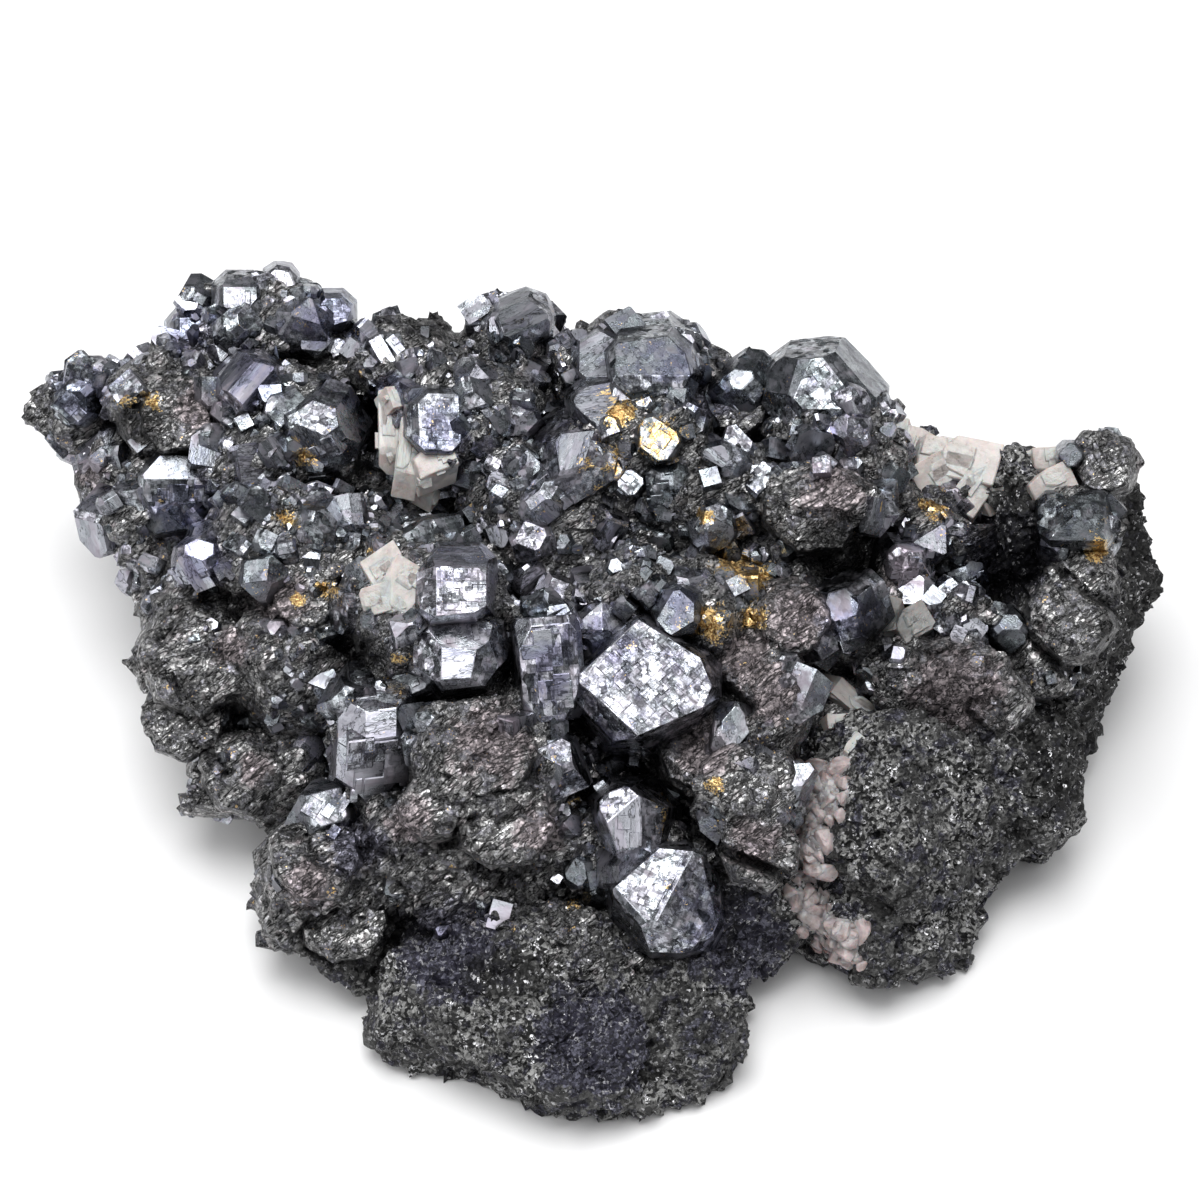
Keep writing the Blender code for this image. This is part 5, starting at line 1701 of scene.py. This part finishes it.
def crystal_metal(plates, grit, tarnish):
    """Skutterudite faces: grey metal, each face its own tone, some smooth, some pitted and stepped."""
    material, paint, shader = new_material("crystal faces")
    facet, tone = paint.mark("facet"), paint.mark("tone")
    narrowed = paint.fade(paint.minus(tone, facet), 0.1, 0.3, 1.0, 0.28)
    drawn = paint.add("CombineXYZ", {0: 1.0, 1: narrowed, 2: 1.0})[0]
    lattice = paint.vector("MULTIPLY", paint.mark("lattice", "Vector"), drawn)
    stepped = paint.fade(facet, 0.35, 0.75)
    tilt, small_tilt = paint.span(stepped, 0.06, 0.46), paint.span(stepped, 0.03, 0.26)
    blocks = paint.group(plates, {"Place": lattice, "Size": 1.3, "Tilt": tilt, "Normal": paint.facing()})
    chips = paint.group(plates, {
        "Place": lattice, "Size": 0.60, "Tilt": small_tilt, "Normal": blocks["Normal"],
    })
    pits = paint.span(stepped, 0.25, 0.6)
    worn = paint.group(grit, {"Place": lattice, "Size": 0.24, "Pits": pits, "Cracks": 0.85})
    blocky = paint.number(0.45, blocks["Tone"], chips["Tone"])
    face = paint.number(0.5, facet, tone)
    share = paint.number(paint.span(stepped, 0.25, 0.8), face, blocky)
    colour = paint.colour(paint.fade(share, 0.15, 0.85), DARK_METAL, BRIGHT_METAL)
    tint = paint.colour(paint.number(0.5, tone, blocks["Other Tone"]), TEAL_TINT, LILAC_TINT)
    colour = paint.tinted(colour, tint)
    edges = paint.times(paint.larger(blocks["Edge"], chips["Edge"]), paint.span(stepped, 0.1, 0.7))
    clean = paint.times(worn["Clean"], paint.minus(1.0, edges))
    colour = paint.colour(clean, paint.darken(colour, 0.14), colour)
    rough = paint.fade(paint.number(0.5, worn["Fine"], blocks["Other Tone"]), 0.2, 0.8, 0.15, 0.42)
    paint.join(tarnish_and_gap_shade(paint, tarnish, worn, colour, rough, GAP_SHADE_CRYSTALS), shader)
    paint.join({"Normal": paint.bump(worn["Fine"], chips["Normal"], 0.5, 0.05 * MM)}, shader)
    return material


def massive_metal(facets, grit, tarnish):
    """Massive ore: darker metal, hackly and striated, with glints, pits and cracks."""
    material, paint, shader = new_material("massive ore")
    place = paint.position()
    fine = paint.group(facets, {"Place": place, "Size": 0.50, "Tilt": 0.22, "Normal": paint.facing()})
    grain = {"Vector": place, "Rotation": GRAIN_TURN}
    turned = paint.add("VectorRotate", grain, rotation_type="EULER_XYZ")[0]
    drawn = paint.vector("MULTIPLY", turned, GRAIN_DRAWN)
    threads = paint.noise(drawn, 2.8, 2.0, 0.7)
    share = paint.number(0.6, fine["Tone"], threads)
    colour = paint.colour(paint.fade(share, 0.25, 0.75), MASSIVE_DARK, MASSIVE_LIGHT)
    colour = paint.colour(paint.fade(fine["Other Tone"], 0.91, 0.95), colour, MASSIVE_GLINT)
    worn = paint.group(grit, {"Place": place, "Size": 0.32, "Pits": 0.6, "Cracks": 0.95})
    beside = paint.math("ABSOLUTE", paint.minus(paint.noise(drawn, 0.9, 3.0, 0.65), 0.5))
    streaks = paint.larger(paint.fade(beside, 0.012, 0.05), paint.fade(worn["Broad"], 0.54, 0.62))
    streaks = paint.math("MINIMUM", worn["Clean"], streaks)
    streaks = paint.times(streaks, paint.span(fine["Edge"], 1.0, 0.55))
    colour = paint.colour(streaks, paint.darken(colour, 0.10), colour)
    rough = paint.fade(paint.number(0.5, worn["Broad"], threads), 0.3, 0.7, 0.30, 0.50)
    paint.join(tarnish_and_gap_shade(paint, tarnish, worn, colour, rough, GAP_SHADE_MASSIVE), shader)
    paint.join({"Normal": paint.bump(streaks, fine["Normal"], 0.9, 0.12 * MM)}, shader)
    return material


def granular_rock(facets, grit):
    """Dark granular rock with blue-grey patches and fine glinting grains."""
    material, paint, shader = new_material("granular rock", {"Specular IOR Level": 0.35})
    place = paint.position()
    grains = paint.group(facets, {"Place": place, "Size": 0.46, "Tilt": 0.9, "Normal": paint.facing()})
    worn = paint.group(grit, {"Place": place, "Size": 0.34, "Pits": 0.9, "Cracks": 0.8})
    patchy = paint.times(paint.minus(worn["Broad"], 0.5), 2.2)
    blue = paint.fade(paint.plus(paint.marks()[2], patchy), 0.05, 0.25)
    grain = paint.number(0.4, paint.number(0.5, grains["Tone"], worn["Fine"]), worn["Broad"])
    grain = paint.fade(grain, 0.40, 0.64)
    olive = paint.colour(grain, ROCK_DARK, ROCK_GRAIN)
    bluish = paint.colour(paint.fade(grain, 0.35, 1.0), ROCK_BLUE, ROCK_BLUE_GRAIN)
    zone = paint.noise(place, 0.13, 2.0, 0.6)
    calm = paint.fade(paint.plus(zone, paint.times(blue, 0.10)), 0.46, 0.58, 0.0, 0.75)
    olive = paint.colour(calm, olive, ROCK_CALM)
    colour = paint.colour(blue, olive, bluish)
    colour = paint.colour(worn["Clean"], paint.darken(colour, 0.2), colour)
    glint = paint.fade(grains["Other Tone"], 0.80, 0.86)
    glint = paint.times(glint, paint.fade(worn["Fine"], 0.49, 0.56))
    glint = paint.times(glint, paint.fade(calm, 0.0, 0.75, 1.0, 0.4))
    # Painted shade darkens the rock colour in gaps and shaded spots
    paint.join({
        "Base Color": paint.colour(glint, paint.darken(colour, paint.painted_gap_shade(GAP_SHADE_ROCK)), ROCK_GLINT),
        "Roughness": paint.number(glint, 0.66, 0.34),
        "Metallic": paint.times(glint, 0.8),
        "Normal": paint.bump(worn["Fine"], grains["Normal"], 0.9, 0.2 * MM),
    }, shader)
    return material


def calcite_spar(name, pale, deep, facets):
    """Calcite: cloudy spar with cleavage steps, whiter where it is crushed."""
    material, paint, shader = new_material(name, {
        "IOR": 1.55, "Transmission Weight": 0.15, "Subsurface Weight": 0.3, "Subsurface Scale": 2.0 * MM,
    })
    lattice = paint.mark("lattice", "Vector")
    cloud = paint.noise(lattice, 0.6, 4.0, 0.65)
    cleaved = paint.group(facets, {"Place": lattice, "Size": 1.4, "Tilt": 0.08, "Normal": paint.facing()})
    share = paint.fade(paint.number(0.1, cloud, cleaved["Tone"]), 0.3, 0.7)
    # Painted shade darkens the calcite colour in gaps and shaded spots
    paint.join({
        "Base Color": paint.darken(paint.colour(share, deep, pale), paint.painted_gap_shade(GAP_SHADE_CALCITE)),
        "Roughness": paint.fade(cloud, 0.3, 0.7, 0.25, 0.5),
        "Normal": paint.bump(cloud, cleaved["Normal"], 0.5, 0.5 * MM),
    }, shader)
    return material


def pale_floor():
    """The plain pale floor."""
    material, paint, shader = new_material("pale floor", {"Roughness": 0.9})
    cloud = paint.noise(paint.add("TexCoord")["Object"], 3.0)
    paint.join({"Base Color": paint.colour(cloud, *FLOOR_COLOURS)}, shader)
    return material


def link(name, data):
    """A new object in the scene."""
    shown = bpy.data.objects.new(name, data)
    bpy.context.scene.collection.objects.link(shown)
    return shown


def piece(name, mesh, material):
    """A piece of the specimen in the scene, with its material, attached to the root body."""
    mesh.materials.clear()
    mesh.materials.append(material)
    shown = link(name, mesh)
    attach(shown, "root")
    return shown


def studio():
    """The floor, the lights and the view."""
    floor = bpy.data.meshes.new("floor")
    bm = bmesh.new()
    bmesh.ops.create_grid(bm, x_segments=1, y_segments=1, size=FLOOR_HALF)
    bm.to_mesh(floor)
    bm.free()
    floor.materials.append(pale_floor())
    ground = link("floor", floor)

    for name, place, size, power in SOFT_LIGHTS:
        light = bpy.data.lights.new(name, "AREA")
        light.shape = "RECTANGLE"
        light.size, light.size_y = size
        light.energy = power
        lamp = link(name, light)
        lamp.location = place
        lamp.rotation_euler = (SHOW_CENTRE - Vector(place)).to_track_quat("-Z", "Y").to_euler()

    world = bpy.data.worlds.new("studio")
    world.use_nodes = True
    world.node_tree.nodes["Background"].inputs["Color"].default_value = ROOM_LIGHT
    bpy.context.scene.world = world

    lens = bpy.data.cameras.new("view")
    lens.lens, lens.sensor_width = LENS, FILM
    camera = link("view", lens)
    turn = Matrix((TO_RIGHT, TO_TOP, TO_EYE)).transposed().to_4x4()
    camera.matrix_world = Matrix.Translation(EYE) @ turn
    bpy.context.scene.camera = camera
    bpy.context.scene.view_settings.view_transform = "Standard"


def assemble():
    """Every piece of the specimen, each standing for its node or riding with it."""
    facets = cells_group("broken facets", "EUCLIDEAN", (0.50, 0.72))
    plates = cells_group("growth plates", "CHEBYCHEV", (0.42, 0.60))
    grit, tarnish = grit_group(), tarnish_group()
    faces = crystal_metal(plates, grit, tarnish)
    massive = massive_metal(facets, grit, tarnish)
    stone = granular_rock(facets, grit)
    spar = calcite_spar("white calcite", SPAR_WHITE, SPAR_GREY, facets)
    pink_spar = calcite_spar("pink calcite", SPAR_PINK, SPAR_BROWN, facets)
    dull_spar = calcite_spar("grey calcite", SPAR_DULL, SPAR_SHADE, facets)

    ore_lumps = [lump(name, row) for name, row in ORE_LUMPS.items()]
    rock_lumps = [lump(name, row) for name, row in ROCK_LUMPS.items()]
    ore_bed, rock_bed = bed(ORE_BED_TOP, bottom=SEAM_HEIGHT), bed(SEAM_HEIGHT, wider=SEAM_LEDGE)
    ore_surface = surface_of(ore_lumps)
    whole_surface = surface_of(ore_lumps + rock_lumps)

    made = [table_crystal(name, row, ore_surface) for name, row in (CRYSTALS | SMALL_CRYSTALS).items()]
    made += [cut_crystal(name, row, ore_surface) for name, row in CUT_CRYSTALS.items()]
    shapes = [shape for crystal, _, _ in made for shape in crystal]
    taken = [(middle, reach) for _, middle, reach in made]
    cut_blocks = [cut_crystal(name, row, ore_surface)[0] for name, row in CUT_BLOCKS.items()]
    blocks = [shape for block in cut_blocks for shape in block]
    space = solid_share(ore_lumps + rock_lumps + [ore_bed, rock_bed] + shapes + blocks)

    def show(name, mesh, material, node):
        """Marks a finished mesh and lets it stand for its node."""
        mark_tarnish_and_shade(mesh)
        mark_open(mesh, space)
        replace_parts(piece(name, mesh, material), node)

    ore_node, rock_node = "skutterudite_crystals", "matrix_rock"
    show("large_crystals", together("large_crystals", shapes), faces, ore_node)
    ore = massive_ore(ore_lumps + [ore_bed])
    rock = rock_mass(rock_lumps + [rock_bed])
    show("massive_ore", ore, massive, ore_node)
    show("ore_blocks", ore_blocks(blocks), massive, ore_node)
    show("granular_rock", rock, stone, rock_node)

    for node, rows in CALCITE.items():
        rhombs = []
        for number, row in enumerate(rows):
            rhombs += cleaved_rhomb(f"{node}_rhomb_{number}", row, whole_surface)
            taken.append((surface_point(whole_surface, *row[:2])[0], row[2] * CALCITE_REACH))
        look = dull_spar if node == "calcite_grey_pocket" else spar
        show(node + "_spar", together(node, rhombs), look, node)
    for right, up, reach in VEIN:
        taken.append((surface_point(whole_surface, right, up)[0], reach * CALCITE_REACH))
    vein = together("calcite_vein", vein_grains(whole_surface))
    show("calcite_vein_spar", vein, pink_spar, "calcite_vein")

    for name in SCATTERED:
        show(name, small_crystals(name, ore, taken), faces, ore_node)
    loose = broken_chips(ore, taken, whole_surface)
    show("broken_chips", loose, massive, ore_node)
    show("rock_grains", rock_grains(rock), stone, rock_node)


assemble()
studio()
